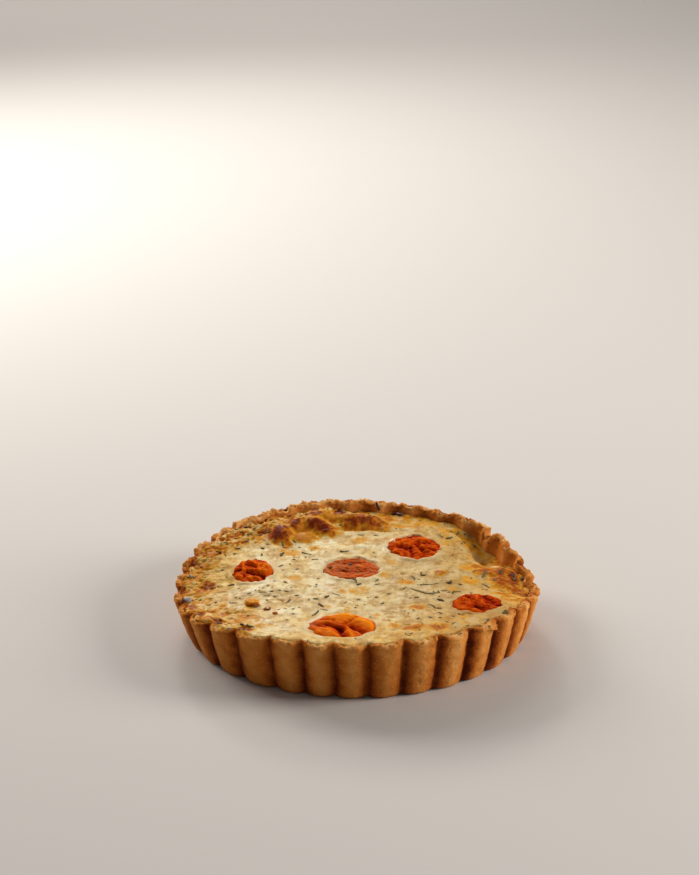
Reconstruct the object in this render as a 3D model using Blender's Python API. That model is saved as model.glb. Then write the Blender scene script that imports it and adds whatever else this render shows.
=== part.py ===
# A round savoury tartlet: a fluted shortcrust case, a baked custard filling and five halved tomatoes.
#
# Units are metres, +Z is up, and the case stands on Z = 0 with its axis on Z. Angles run round the
# tartlet from the front (-Y) towards its right-hand side (+X).

import math
import random

import bmesh
import bpy
from mathutils import Vector, geometry, noise

MM = 0.001

# Driving sizes of the pastry case
RIM_RADIUS = 60.0 * MM
BASE_RADIUS = 55.4 * MM
RIM_HEIGHT = 19.8 * MM
FLUTES = 32
FIRST_GROOVE = math.radians(3.0)
GROOVE_DEPTH_TOP = 2.6 * MM
GROOVE_DEPTH_BASE = 1.9 * MM
GROOVE_SHARPNESS = 2.6
FLOOR_THICKNESS = 3.2 * MM
WALL_THICKNESS = 2.7 * MM
BASE_EDGE_ROUND = 1.9 * MM
CRUMB_HEIGHT = 0.45 * MM

# Sizes shared by the pieces that lie against each other
GAP = 0.3 * MM
CENTRE_LEVEL = 17.5 * MM

# Where the baked edge sags, is squeezed in or stands up, as (angle, width, amount)
RIM_SAGS = ((-77, 36, 5.4 * MM), (92, 23, 5.2 * MM), (129.5, 1.6, 1.9 * MM))
RIM_RISES = ((180, 40, 1.9 * MM), (-164, 10, 0.9 * MM), (28, 14, 0.4 * MM))
SQUEEZES = ((-108, 22, 0.2 * MM), (106, 18, 0.9 * MM), (-66, 18, -0.6 * MM))
LIPS = ((45.5, 2.4, 1.6 * MM), (84.0, 3.6, 0.7 * MM), (132.0, 2.0, 0.8 * MM))
FLUTE_SHIFT = (-26, 16, 2.7)

# How far the custard stays below the pastry's edge, as (angle, width, amount)
FREEBOARD = 0.35 * MM
LOW_EDGES = ((172, 42, 2.9 * MM), (122, 15, 3.4 * MM), (88, 16, 0.7 * MM))
EDGE_BLEND_START = 0.52

# Browned blisters, dips and swellings of the custard: x, y, half length, half width, turn, height
RELIEF = (
    (-25.0, 36.0, 8.5, 4.2, 100, 2.1),
    (-18.0, 42.5, 7.5, 4.8, 95, 1.9),
    (-12.5, 47.5, 7.0, 4.6, 65, 2.4),
    (1.0, 47.5, 10.0, 4.6, 4, 1.6),
    (20.0, -40.5, 8.0, 2.4, 4, 0.45),
    (46.0, 3.0, 6.5, 5.0, 60, 1.3),
    (43.0, 24.0, 4.5, 7.5, 25, -1.4),
    (-36.0, -25.5, 6.0, 2.0, -40, 0.6),
    (-34.0, -38.0, 5.0, 2.2, -20, 0.5),
    (28.0, 3.0, 4.0, 2.5, 0, 0.5),
    (5.0, -14.0, 9.0, 6.0, 20, -0.5),
    (-24.0, -10.0, 9.0, 4.0, 10, 0.5),
)

# Halved tomatoes: name, x, y, half width, half depth, turn, lift, lean to the front, seed
TOMATOES = (
    ("tomato_left", -34.0, 4.0, 6.7, 8.4, 0, 0.5, 7, 3),
    ("tomato_middle", -1.7, 6.6, 9.6, 9.4, 0, -0.1, 0, 5),
    ("tomato_back", 19.6, 24.4, 9.0, 9.8, 10, 0.4, 4, 8),
    ("tomato_right", 38.3, -24.3, 8.2, 7.8, 0, 0.2, 2, 13),
    ("tomato_front", -4.3, -42.4, 10.6, 9.6, -6, 0.6, 0, 21),
)
TOMATO_BODY_DEPTH = 6.4 * MM
TOMATO_COLUMNS = 24
TOMATO_FACE_RINGS = (0.24, 0.5, 0.76, 0.94)
TOMATO_BODY_ANGLES = (14, 38, 62)
TOMATO_WOBBLE = 0.09
TOMATO_FOLDS = 0.75 * MM
POCKET_OPENING = 9.0 * MM

# Patches of dried herb: x, y, spread and how many flakes that show
HERB_PATCHES = (
    (-38.0, 33.0, 6.5, 9),
    (-50.0, 2.0, 5.0, 5),
    (-17.0, -18.0, 8.0, 9),
    (24.0, -12.0, 8.5, 12),
    (47.0, -2.0, 4.5, 5),
    (-36.0, -37.0, 5.0, 4),
    (-5.0, 52.0, 6.0, 3),
    (30.0, 33.0, 7.0, 4),
    (16.0, -36.0, 7.0, 4),
    (-18.0, 20.0, 9.0, 5),
)
HERB_SEED = 11
HERB_LENGTH = (2.0 * MM, 3.8 * MM)
HERB_WIDTH = (0.9 * MM, 1.3 * MM)
HERB_HALF_THICKNESS = 0.5 * MM
HERB_SPACING = 2.6 * MM
HERB_EDGE_MARGIN = 3.2 * MM

COLUMN_STEPS = (0.0, 0.08, 0.25, 0.42, 0.58, 0.75, 0.92)
TOP_GRID = 3.1 * MM


# Shared rules

def bump(angle, centre, width):
    """A smooth hump of height 1 at an angle, with its centre and width in degrees."""
    away = (math.degrees(angle) - centre + 180) % 360 - 180
    return math.exp(-((away / width) ** 2))


def humps(angle, rows):
    return sum(amount * bump(angle, centre, width) for centre, width, amount in rows)


def place(angle, radius, height):
    return Vector((radius * math.sin(angle), -radius * math.cos(angle), height))


def smoothstep(low, high, value):
    share = min(max((value - low) / (high - low), 0.0), 1.0)
    return share * share * (3 - 2 * share)


def roughness(angle, scale, seed):
    """Seeded unevenness from -1 to 1 that closes on itself round the tartlet."""
    return noise.noise(Vector((math.sin(angle) * scale, math.cos(angle) * scale, seed)))


def flute_place(angle):
    """How far across its flute an angle lies: 0 and 1 are the grooves on either side."""
    shift = math.radians(FLUTE_SHIFT[2]) * bump(angle, FLUTE_SHIFT[0], FLUTE_SHIFT[1])
    return ((angle - FIRST_GROOVE - shift) / (math.tau / FLUTES)) % 1.0


def column_angles():
    """Angles at the same places across every flute, with one in each groove."""
    found = []
    for flute in range(FLUTES):
        for step in COLUMN_STEPS:
            regular = FIRST_GROOVE + (flute + step) * math.tau / FLUTES
            angle = regular
            for _ in range(20):
                angle = regular + math.radians(FLUTE_SHIFT[2]) * bump(angle, *FLUTE_SHIFT[:2])
            found.append(angle)
    return found


# The pastry case

def rim_height(angle):
    crumbs = CRUMB_HEIGHT * roughness(angle, 26, 4.0)
    swell = 0.4 * MM * roughness(angle, 3.0, 9.0)
    return RIM_HEIGHT + humps(angle, RIM_RISES) - humps(angle, RIM_SAGS) + crumbs + swell


def crest_radius(angle, share):
    """The radius of the flutes' crests, at a share of the way from the base to the rim."""
    flare = BASE_RADIUS + (RIM_RADIUS - BASE_RADIUS) * share
    return flare - share * humps(angle, SQUEEZES) + 0.25 * MM * roughness(angle, 5.0, 2.0)


def outer_radius(angle, share, groove=1.0):
    depth = GROOVE_DEPTH_BASE + (GROOVE_DEPTH_TOP - GROOVE_DEPTH_BASE) * share
    across = abs(2 * flute_place(angle) - 1) ** GROOVE_SHARPNESS
    return crest_radius(angle, share) - groove * depth * across


def inner_radius(angle, height):
    """The pastry's inner wall, a straight line from the floor to the rim that follows the flutes softly."""
    share = height / rim_height(angle)
    wave = 0.5 + 0.5 * math.cos(math.tau * flute_place(angle))
    thick = WALL_THICKNESS + 0.5 * MM * bump(angle, 180, 70) + 0.3 * MM * roughness(angle, 4.0, 6.0)
    return crest_radius(angle, share) - thick - 1.3 * MM * wave


def case_section(angle):
    """The case's cut at one angle, from the middle of its underside over the rim to its floor."""
    top = rim_height(angle)
    lip = humps(angle, LIPS)
    mid = 0.55
    inside_floor = FLOOR_THICKNESS + 1.4 * MM
    return (
        (outer_radius(angle, 0.0, 0.7) - BASE_EDGE_ROUND, 0.0),
        (outer_radius(angle, 0.02) - 0.3 * BASE_EDGE_ROUND, 0.3 * BASE_EDGE_ROUND),
        (outer_radius(angle, 0.08), BASE_EDGE_ROUND),
        (outer_radius(angle, mid), mid * top),
        (outer_radius(angle, 0.92) + 0.3 * lip, top - 1.3 * MM - 0.5 * lip),
        (outer_radius(angle, 1.0, 0.9) - 0.45 * MM + lip, top - 0.25 * MM - 0.4 * lip),
        (0.5 * (outer_radius(angle, 1.0, 0.8) + inner_radius(angle, top)), top),
        (inner_radius(angle, top) + 0.45 * MM, top - 0.35 * MM),
        (inner_radius(angle, top - 1.5 * MM), top - 1.5 * MM),
        (inner_radius(angle, inside_floor), inside_floor),
        (inner_radius(angle, inside_floor) - 1.4 * MM, FLOOR_THICKNESS),
    )


def closed_turning(bm, rings, first_pole, last_pole):
    """Joins rings of points into one closed shell, with a point at each end."""
    loops = [[bm.verts.new(point) for point in ring] for ring in rings]
    first, last = bm.verts.new(first_pole), bm.verts.new(last_pole)
    count = len(rings[0])
    for i in range(count):
        j = (i + 1) % count
        bm.faces.new((first, loops[0][j], loops[0][i]))
        for low, high in zip(loops, loops[1:]):
            bm.faces.new((low[i], low[j], high[j], high[i]))
        bm.faces.new((last, loops[-1][i], loops[-1][j]))


def build_case():
    angles = column_angles()
    sections = [case_section(angle) for angle in angles]
    rings = [
        [place(angle, *section[level]) for angle, section in zip(angles, sections)]
        for level in range(len(sections[0]))
    ]
    bm = bmesh.new()
    closed_turning(bm, rings, Vector((0, 0, 0)), Vector((0, 0, FLOOR_THICKNESS)))
    return add_object("crust", bm, CRUST)


# The custard

def edge_level(angle):
    return rim_height(angle) - FREEBOARD - humps(angle, LOW_EDGES)


def relief(x, y):
    total = 0.0
    for cx, cy, half_length, half_width, turn, height in RELIEF:
        dx, dy = x / MM - cx, y / MM - cy
        c, s = math.cos(math.radians(turn)), math.sin(math.radians(turn))
        along, across = (dx * c + dy * s) / half_length, (dy * c - dx * s) / half_width
        total += height * MM * math.exp(-1.4 * (along * along + across * across))
    return total


def custard_level(x, y):
    """The height of the custard's top over a point."""
    angle, radius = math.atan2(x, -y), math.hypot(x, y)
    edge = edge_level(angle)
    share = smoothstep(EDGE_BLEND_START, 1.0, radius / inner_radius(angle, edge))
    swell = 0.35 * MM * noise.noise(Vector((x, y, 0)) / (13 * MM))
    ripple = 0.22 * MM * noise.noise(Vector((x, y, 5)) / (4.2 * MM))
    return CENTRE_LEVEL + (edge - CENTRE_LEVEL) * share + relief(x, y) + (swell + ripple) * (1 - 0.5 * share)


def top_points(border):
    """The border's points and an even triangular grid of points inside it."""
    points = [Vector((p.x, p.y)) for p in border]
    rows = int(RIM_RADIUS / (TOP_GRID * 0.866)) + 1
    for row in range(-rows, rows + 1):
        for column in range(-rows, rows + 1):
            x = (column + 0.5 * (row % 2)) * TOP_GRID
            y = row * TOP_GRID * 0.866
            angle = math.atan2(x, -y)
            reach = inner_radius(angle, edge_level(angle)) - GAP - 0.62 * TOP_GRID
            if math.hypot(x, y) < reach:
                points.append(Vector((x, y)))
    return points


def build_custard():
    angles = column_angles()
    border = [place(a, inner_radius(a, edge_level(a)) - GAP, 0) for a in angles]
    count = len(border)
    edges = [(i, (i + 1) % count) for i in range(count)]
    flat, _, triangles, _, _, _ = geometry.delaunay_2d_cdt(
        top_points(border), edges, [list(range(count))], 1, 1e-7
    )
    bm = bmesh.new()
    top = [bm.verts.new((p.x, p.y, custard_level(p.x, p.y))) for p in flat]
    for triangle in triangles:
        bm.faces.new([top[i] for i in triangle])
    inside_floor = FLOOR_THICKNESS + 1.4 * MM
    low = [bm.verts.new(place(a, inner_radius(a, inside_floor) - GAP, inside_floor)) for a in angles]
    foot = [
        bm.verts.new(place(a, inner_radius(a, inside_floor) - 1.4 * MM - GAP, FLOOR_THICKNESS + GAP))
        for a in angles
    ]
    centre = bm.verts.new((0, 0, FLOOR_THICKNESS + GAP))
    for i in range(count):
        j = (i + 1) % count
        bm.faces.new((low[i], low[j], top[j], top[i]))
        bm.faces.new((foot[i], foot[j], low[j], low[i]))
        bm.faces.new((centre, foot[j], foot[i]))
    return add_object("custard", bm, CUSTARD)


# The halved tomatoes

def tomato_outline(phi, seed):
    wave = noise.noise(Vector((math.cos(phi) * 1.3, math.sin(phi) * 1.3, seed)))
    fine = noise.noise(Vector((math.cos(phi) * 3.1, math.sin(phi) * 3.1, seed + 40)))
    return 1 + TOMATO_WOBBLE * (1.4 * wave + 0.8 * fine)


def tomato_face(u, v, seed):
    """Folds of the dried, collapsed face, in the tomato's own plane from -1 to 1."""
    folds = noise.noise(Vector((u * 2.2 + 0.6 * v, v * 3.4, seed)))
    crease = 1 - 2 * abs(noise.noise(Vector((u * 1.7, v * 2.4, seed + 20))))
    return TOMATO_FOLDS * (0.9 * folds + 0.6 * crease - 0.5)


def tomato_rings(half_width, half_depth, seed, grow=0.0):
    """Rings of points in the tomato's own frame, from its face down to its underside."""
    rings = []
    steps = [math.tau * i / TOMATO_COLUMNS for i in range(TOMATO_COLUMNS)]
    for share in TOMATO_FACE_RINGS:
        ring = []
        for phi in steps:
            reach = share * tomato_outline(phi, seed)
            u, v = reach * math.cos(phi), reach * math.sin(phi)
            ring.append(Vector((u * half_width, v * half_depth, tomato_face(u, v, seed) * (1 - share**6))))
        rings.append(ring)
    for turn in TOMATO_BODY_ANGLES:
        across, down = math.cos(math.radians(turn)), math.sin(math.radians(turn))
        ring = []
        for phi in steps:
            reach = across * tomato_outline(phi, seed)
            ring.append(
                Vector((
                    reach * (half_width + grow) * math.cos(phi),
                    reach * (half_depth + grow) * math.sin(phi),
                    -down * (TOMATO_BODY_DEPTH + grow) - 0.35 * MM,
                ))
            )
        rings.append(ring)
    return rings


def tomato_places():
    """Where each tomato's own frame stands on the custard."""
    for name, x, y, half_width, half_depth, turn, lift, lean, seed in TOMATOES:
        level = custard_level(x * MM, y * MM) + lift * MM
        yield name, Vector((x * MM, y * MM, level)), half_width * MM, half_depth * MM, turn, lean, seed


def build_tomato(name, centre, half_width, half_depth, turn, lean, seed):
    rings = tomato_rings(half_width, half_depth, seed)
    bm = bmesh.new()
    closed_turning(
        bm, rings[::-1],
        Vector((0, 0, -TOMATO_BODY_DEPTH - 0.35 * MM)), Vector((0, 0, tomato_face(0, 0, seed))),
    )
    obj = add_object(name, bm, TOMATO)
    stand(obj, centre, turn, lean)
    return obj


def pocket_cutter(name, centre, half_width, half_depth, turn, lean, seed):
    """The tomato's body grown by the gap and opened upwards, to cut its seat in the custard."""
    body = tomato_rings(half_width, half_depth, seed, grow=GAP + 0.1 * MM)[len(TOMATO_FACE_RINGS):]
    steps = [math.tau * i / TOMATO_COLUMNS for i in range(TOMATO_COLUMNS)]
    walls = []
    for height in (POCKET_OPENING, 0.0):
        ring = []
        for phi in steps:
            reach = 1.02 * tomato_outline(phi, seed)
            ring.append(
                Vector((
                    reach * (half_width + GAP) * math.cos(phi),
                    reach * (half_depth + GAP) * math.sin(phi),
                    height,
                ))
            )
        walls.append(ring)
    bm = bmesh.new()
    closed_turning(
        bm, (walls + body)[::-1],
        Vector((0, 0, -TOMATO_BODY_DEPTH - 0.35 * MM - 1.5 * GAP)), Vector((0, 0, POCKET_OPENING)),
    )
    cutter = add_object(f"cutter_{name}", bm, TOMATO)
    cutter.hide_render = True
    cutter.display_type = "WIRE"
    stand(cutter, centre, turn, lean)
    return cutter


def stand(obj, centre, turn, lean):
    obj.location = centre
    obj.rotation_euler = (math.radians(lean), 0, math.radians(turn))


# The herb flakes that show

def near_a_tomato(x, y, margin):
    for _, cx, cy, half_width, half_depth, *_ in TOMATOES:
        across = (x / MM - cx) / (half_width + margin / MM)
        deep = (y / MM - cy) / (half_depth + margin / MM)
        if across * across + deep * deep < 1:
            return True
    return False


def herb_places():
    """Seeded flake places in the patches, clear of the tomatoes, the pastry and each other."""
    draw = random.Random(HERB_SEED)
    found = []
    for cx, cy, spread, wanted in HERB_PATCHES:
        placed = 0
        for _ in range(400):
            if placed == wanted:
                break
            x, y = draw.gauss(cx, spread) * MM, draw.gauss(cy, spread) * MM
            angle = math.atan2(x, -y)
            reach = inner_radius(angle, edge_level(angle)) - HERB_EDGE_MARGIN
            if math.hypot(x, y) > reach or near_a_tomato(x, y, HERB_EDGE_MARGIN):
                continue
            if any(math.hypot(x - a, y - b) < HERB_SPACING for a, b, _ in found):
                continue
            found.append((x, y, draw.uniform(0, math.pi)))
            placed += 1
    return found, draw


def build_herbs(collection):
    """Small pointed slivers, each half sunk in the custard."""
    places, draw = herb_places()
    for number, (x, y, turn) in enumerate(places):
        length, width = draw.uniform(*HERB_LENGTH) / 2, draw.uniform(*HERB_WIDTH) / 2
        outline = ((length, 0), (0.3 * length, width), (-0.6 * length, 0.8 * width),
                   (-length, 0), (-0.4 * length, -width), (0.5 * length, -0.8 * width))
        bm = bmesh.new()
        low = [bm.verts.new((a, b, -HERB_HALF_THICKNESS)) for a, b in outline]
        high = [bm.verts.new((0.85 * a, 0.85 * b, HERB_HALF_THICKNESS)) for a, b in outline]
        bm.faces.new(low[::-1])
        bm.faces.new(high)
        for i in range(len(outline)):
            j = (i + 1) % len(outline)
            bm.faces.new((low[i], low[j], high[j], high[i]))
        obj = add_object(f"flake_{number}", bm, CUSTARD, collection)
        obj.location = (x, y, custard_level(x, y))
        obj.rotation_euler = (0, 0, turn)
        obj.hide_render = True


# Objects and materials

def make_material(name, colour, roughness_value):
    material = bpy.data.materials.new(name)
    material.use_nodes = True
    shader = material.node_tree.nodes["Principled BSDF"]
    shader.inputs["Base Color"].default_value = (*colour, 1)
    shader.inputs["Roughness"].default_value = roughness_value
    shader.inputs["Metallic"].default_value = 0.0
    return material


def add_object(name, bm, material, collection=None):
    bmesh.ops.recalc_face_normals(bm, faces=bm.faces)
    mesh = bpy.data.meshes.new(name)
    bm.to_mesh(mesh)
    bm.free()
    mesh.shade_smooth()
    mesh.materials.append(material)
    obj = bpy.data.objects.new(name, mesh)
    (collection or bpy.context.scene.collection).objects.link(obj)
    return obj


def boolean(obj, operation, collection):
    modifier = obj.modifiers.new(operation.title(), "BOOLEAN")
    modifier.operation = operation
    modifier.operand_type = "COLLECTION"
    modifier.collection = collection
    modifier.solver = "EXACT"


def apply_modifiers(obj):
    bpy.context.view_layer.update()
    graph = bpy.context.evaluated_depsgraph_get()
    result = bpy.data.meshes.new_from_object(obj.evaluated_get(graph))
    obj.modifiers.clear()
    obj.data = result


def new_collection(name):
    collection = bpy.data.collections.new(name)
    bpy.context.scene.collection.children.link(collection)
    return collection


for old in list(bpy.data.objects):
    bpy.data.objects.remove(old)

CRUST = make_material("shortcrust", (0.62, 0.36, 0.15), 0.75)
CUSTARD = make_material("baked_custard", (0.86, 0.74, 0.46), 0.45)
TOMATO = make_material("roast_tomato", (0.78, 0.16, 0.03), 0.3)

build_case()
custard = build_custard()

pockets = new_collection("pockets")
for facts in tomato_places():
    build_tomato(*facts)
    cutter = pocket_cutter(*facts)
    bpy.context.scene.collection.objects.unlink(cutter)
    pockets.objects.link(cutter)
boolean(custard, "DIFFERENCE", pockets)
apply_modifiers(custard)

flakes = new_collection("flakes")
build_herbs(flakes)
boolean(custard, "UNION", flakes)
apply_modifiers(custard)
for helper in list(flakes.objects) + list(pockets.objects):
    bpy.data.objects.remove(helper)
for collection in (flakes, pockets):
    bpy.data.collections.remove(collection)
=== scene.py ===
# %% [markdown]
# A savoury tartlet, dressed piece by piece
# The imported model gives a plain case, a plain custard and five plain tomato halves in one shared frame.
# This lesson dresses them: a fluted pastry case with a crumbly rim, a baked custard with browned blisters,
# wrinkled roast tomatoes, dried herbs, crumbs and flour. Everything is in metres, +Z is up, and the front
# of the tartlet is on -Y. Angles run round from the front towards +X.

# %% Load the frame
import math

import bpy
import numpy as np
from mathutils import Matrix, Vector
from mathutils.bvhtree import BVHTree


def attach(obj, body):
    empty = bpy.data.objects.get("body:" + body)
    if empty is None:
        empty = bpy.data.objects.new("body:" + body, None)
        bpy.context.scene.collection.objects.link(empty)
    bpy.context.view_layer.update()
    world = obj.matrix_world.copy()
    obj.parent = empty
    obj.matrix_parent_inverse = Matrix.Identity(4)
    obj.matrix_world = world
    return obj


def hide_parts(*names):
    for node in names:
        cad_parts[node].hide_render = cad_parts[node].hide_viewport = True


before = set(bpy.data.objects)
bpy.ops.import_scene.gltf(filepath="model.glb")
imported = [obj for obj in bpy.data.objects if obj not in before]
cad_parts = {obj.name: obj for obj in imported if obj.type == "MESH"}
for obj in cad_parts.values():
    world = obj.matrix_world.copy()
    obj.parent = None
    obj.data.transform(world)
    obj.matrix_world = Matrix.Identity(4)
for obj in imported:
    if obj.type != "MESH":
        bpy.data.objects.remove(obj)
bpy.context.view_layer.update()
MM = 0.001
print("solids:", sorted(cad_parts))

# %% [markdown]
# The camera
# A long lens, 24 degrees above level, keeps the ellipse of the rim as flat as in the picture. The camera
# stands 660 mm in front of the tartlet and 300 mm up, and looks over it, so that the tartlet sits low in an
# upright frame.

# %% Camera
LENS = 90.0
CAMERA_PLACE = (-2.41 * MM, -661.2 * MM, 300.0 * MM)
CAMERA_PITCH = math.radians(70.5)


def set_camera():
    data = bpy.data.cameras.new("camera")
    data.lens = LENS
    data.sensor_width = 36.0
    data.clip_start = 0.01
    camera = bpy.data.objects.new("camera", data)
    camera.location = CAMERA_PLACE
    camera.rotation_euler = (CAMERA_PITCH, 0, 0)
    bpy.context.scene.collection.objects.link(camera)
    bpy.context.scene.camera = camera


set_camera()

# %% [markdown]
# Shared rules of shape
# A baked rim is never a true circle. It sags, stands up and is squeezed in at a few places, and each is a
# smooth hump at an angle with a width and an amount. Rules like these made the solids, so the dressed pieces
# stay where the solids are. Unevenness comes from a seeded noise, so every run gives the same tartlet.

# %% Rules of shape
RIM_RADIUS = 60.0 * MM
BASE_RADIUS = 55.4 * MM
RIM_HEIGHT = 19.8 * MM
FLUTES = 32
FIRST_GROOVE = math.radians(3.0)
# The flutes at the front left stand a little off: angle, width, shift in degrees
FLUTE_SHIFT = (-26, 16, 2.7)
GROOVE_DEPTH_TOP = 2.6 * MM
GROOVE_DEPTH_BASE = 1.9 * MM
GROOVE_SHARPNESS = 2.6
FLOOR_THICKNESS = 3.2 * MM
WALL_THICKNESS = 2.7 * MM
INNER_WAVE = 1.3 * MM
BASE_EDGE_ROUND = 1.9 * MM
CENTRE_LEVEL = 17.5 * MM
EDGE_BLEND_START = 0.52
FREEBOARD = 0.35 * MM
# The height at which the inner wall bends into the floor
FLOOR_CORNER = FLOOR_THICKNESS + 1.4 * MM

# Humps on the way round: angle and width in degrees, amount
RIM_SAGS = ((-77, 36, 5.4 * MM), (92, 23, 5.2 * MM))
# The broken notch at the right-hand back: angle of its steep side, width of its slope, depth
NOTCH = (129.3, 3.4, 2.4 * MM)
RIM_RISES = ((180, 40, 1.9 * MM), (-164, 10, 0.9 * MM), (28, 14, 0.4 * MM))
SQUEEZES = ((-108, 22, 0.2 * MM), (106, 18, 0.9 * MM), (-66, 18, -0.6 * MM))
LIPS = ((45.5, 2.4, 1.6 * MM), (84.0, 3.6, 0.7 * MM), (132.0, 2.0, 0.8 * MM))
LOW_EDGES = ((172, 42, 2.9 * MM), (122, 15, 3.4 * MM), (88, 16, 0.7 * MM))
# Where the top of the rim has slumped and its flutes are faint: angle, width, share of the flute lost
FAINT_FLUTES = ((152, 40, 0.75), (-164, 32, 0.7))
# Scorched hollows of the rim and the inner wall: x, y, half length, half width, turn in degrees, how brown
SCORCHED = (
    (-54.3, 13.4, 1.9, 3.2, 20, 0.50), (-57.2, -5.2, 1.7, 2.6, 0, 0.45),
    (-53.9, -17.4, 1.9, 3.4, 25, 0.50), (-51.8, -25.2, 1.7, 2.8, 30, 0.35),
    (-45.0, -34.8, 2.6, 1.6, -40, 0.30), (-35.6, -43.6, 3.0, 1.5, -38, 0.30),
)
# Where custard ran over the top of the pastry: angle, width, share of the rim's width
OVERFLOW = ((-90, 22, 0.16), (-52, 16, 0.62), (-26, 16, 0.55), (0, 14, 0.46), (22, 12, 0.46), (50, 8, 0.25))


def bump(angle, centre, width):
    """A smooth hump of height 1, with its centre and width in degrees."""
    away = (np.degrees(angle) - centre + 180) % 360 - 180
    return np.exp(-((away / width) ** 2))


def humps(angle, rows):
    return sum(amount * bump(angle, centre, width) for centre, width, amount in rows)


def smoothstep(low, high, value):
    share = np.clip((value - low) / (high - low), 0, 1)
    return share * share * (3 - 2 * share)


def soft_noise(x, y, seed):
    """Seeded smooth unevenness from about -1 to 1, one lump to a unit of length."""
    x, y = np.broadcast_arrays(np.asarray(x, float), np.asarray(y, float))
    left, low = np.floor(x).astype(np.int64), np.floor(y).astype(np.int64)
    total = np.zeros(x.shape)
    for step_x in (0, 1):
        for step_y in (0, 1):
            corner_x, corner_y = left + step_x, low + step_y
            mixed = (corner_x * 374761393 + corner_y * 668265263 + seed * 69069) & 0xFFFFFFFF
            mixed = ((mixed ^ (mixed >> 13)) * 1274126177) & 0xFFFFFFFF
            turn = (mixed ^ (mixed >> 16)) / 2**32 * math.tau
            away_x, away_y = x - corner_x, y - corner_y
            share = smoothstep(0, 1, 1 - np.abs(away_x)) * smoothstep(0, 1, 1 - np.abs(away_y))
            total += share * (np.cos(turn) * away_x + np.sin(turn) * away_y)
    return total * 1.6


def round_noise(angle, lumps, seed):
    """The same unevenness on a ring, with about that many lumps to a turn of one radian."""
    return soft_noise(np.sin(angle) * lumps, np.cos(angle) * lumps, seed)


def along_across(x, y, turn):
    """How far a place lies along and across an axis that is turned by so many degrees."""
    cosine, sine = math.cos(math.radians(turn)), math.sin(math.radians(turn))
    return x * cosine + y * sine, y * cosine - x * sine


def oval(x, y, centre_x, centre_y, half_length, half_width, turn):
    """Squared distance from an oval's centre, 1 on its edge, with sizes in millimetres."""
    along, across = along_across(x / MM - centre_x, y / MM - centre_y, turn)
    return (along / half_length) ** 2 + (across / half_width) ** 2


def patch(x, y, *place):
    """1 in the middle of an oval place, and fading away smoothly over its edge."""
    return np.exp(-oval(x, y, *place))


def flute_place(angle):
    """The number of flutes passed at an angle: a whole number is a groove, and a half is a crest."""
    centre, width, degrees = FLUTE_SHIFT
    shift = math.radians(degrees) * bump(angle, centre, width)
    return (angle - FIRST_GROOVE - shift) / (math.tau / FLUTES)


def whole_rim_height(angle):
    swell = 0.4 * MM * round_noise(angle, 3.0, 9)
    return RIM_HEIGHT + humps(angle, RIM_RISES) - humps(angle, RIM_SAGS) + swell


def rim_height(angle):
    """The rim with its notch, which is steep on one side and slopes back up on the other."""
    steep, slope, depth = NOTCH
    past = steep - np.degrees(angle) % 360
    fall = depth * smoothstep(0, 0.9, past)
    return whole_rim_height(angle) - fall * np.exp(-(np.clip(past, 0, 90) / slope) ** 2)


def crest_radius(angle, share):
    """The radius of the flutes' crests, at a share of the way from the base to the rim."""
    flare = BASE_RADIUS + (RIM_RADIUS - BASE_RADIUS) * share
    return flare - share * humps(angle, SQUEEZES) + 0.25 * MM * round_noise(angle, 5.0, 2)


def groove_depth(share):
    return GROOVE_DEPTH_BASE + (GROOVE_DEPTH_TOP - GROOVE_DEPTH_BASE) * share


def inner_wave(angle):
    return INNER_WAVE * (0.5 + 0.5 * np.cos(math.tau * flute_place(angle)))


def overflow_share(angle):
    """How far over the rim the custard ran, uneven from flute to flute."""
    uneven = 1 + 0.40 * round_noise(angle, 7.0, 77) + 0.30 * round_noise(angle, 19.0, 78)
    return np.clip(humps(angle, OVERFLOW) * uneven, 0, 0.78)


def smooth_inner_radius(angle, height):
    """The inner wall before the flutes are pressed into it."""
    thick = WALL_THICKNESS + 0.5 * MM * bump(angle, 180, 70) + 0.3 * MM * round_noise(angle, 4.0, 6)
    return crest_radius(angle, height / rim_height(angle)) - thick


# %% [markdown]
# Small helpers for meshes and node trees
# Shapes are worked out as arrays of points, which is fast for a hundred thousand of them. A closed shell is
# rings of points, joined by four-sided faces and closed with a point at each end. Masks for colour, such as
# how brown a place is, are stored on the mesh as named attributes, and the materials read them.

# %% Mesh helpers
def ring_faces(levels, count):
    """Four-sided faces between rings of points, and the triangles that close both ends."""
    level, column = np.meshgrid(np.arange(levels - 1), np.arange(count), indexing="ij")
    after = (column + 1) % count
    low, high = level * count, (level + 1) * count
    quads = np.stack([low + column, low + after, high + after, high + column], axis=-1).reshape(-1, 4)
    columns = np.arange(count)
    following = (columns + 1) % count
    first, last = levels * count, levels * count + 1
    start = np.stack([np.full(count, first), following, columns], axis=-1)
    top = (levels - 1) * count
    end = np.stack([np.full(count, last), top + columns, top + following], axis=-1)
    return quads.tolist() + start.tolist() + end.tolist()


def mesh_object(name, points, faces, masks, material):
    mesh = bpy.data.meshes.new(name)
    mesh.from_pydata(points.tolist(), [], faces)
    mesh.shade_smooth()
    mesh.materials.append(material)
    for mask, values in masks.items():
        store(mesh, mask, values)
    obj = bpy.data.objects.new(name, mesh)
    bpy.context.scene.collection.objects.link(obj)
    return obj


def store(mesh, mask, values):
    """Keeps one number for each point of the mesh under a name that a material can read."""
    attribute = mesh.attributes.new(mask, "FLOAT", "POINT")
    attribute.data.foreach_set("value", np.asarray(values, np.float32).ravel())


def report(obj):
    mesh = obj.data
    triangles = sum(len(face.vertices) - 2 for face in mesh.polygons)
    size = ", ".join(f"{side / MM:.1f}" for side in obj.dimensions)
    print(f"{obj.name}: {triangles} triangles, {size} mm")


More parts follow.
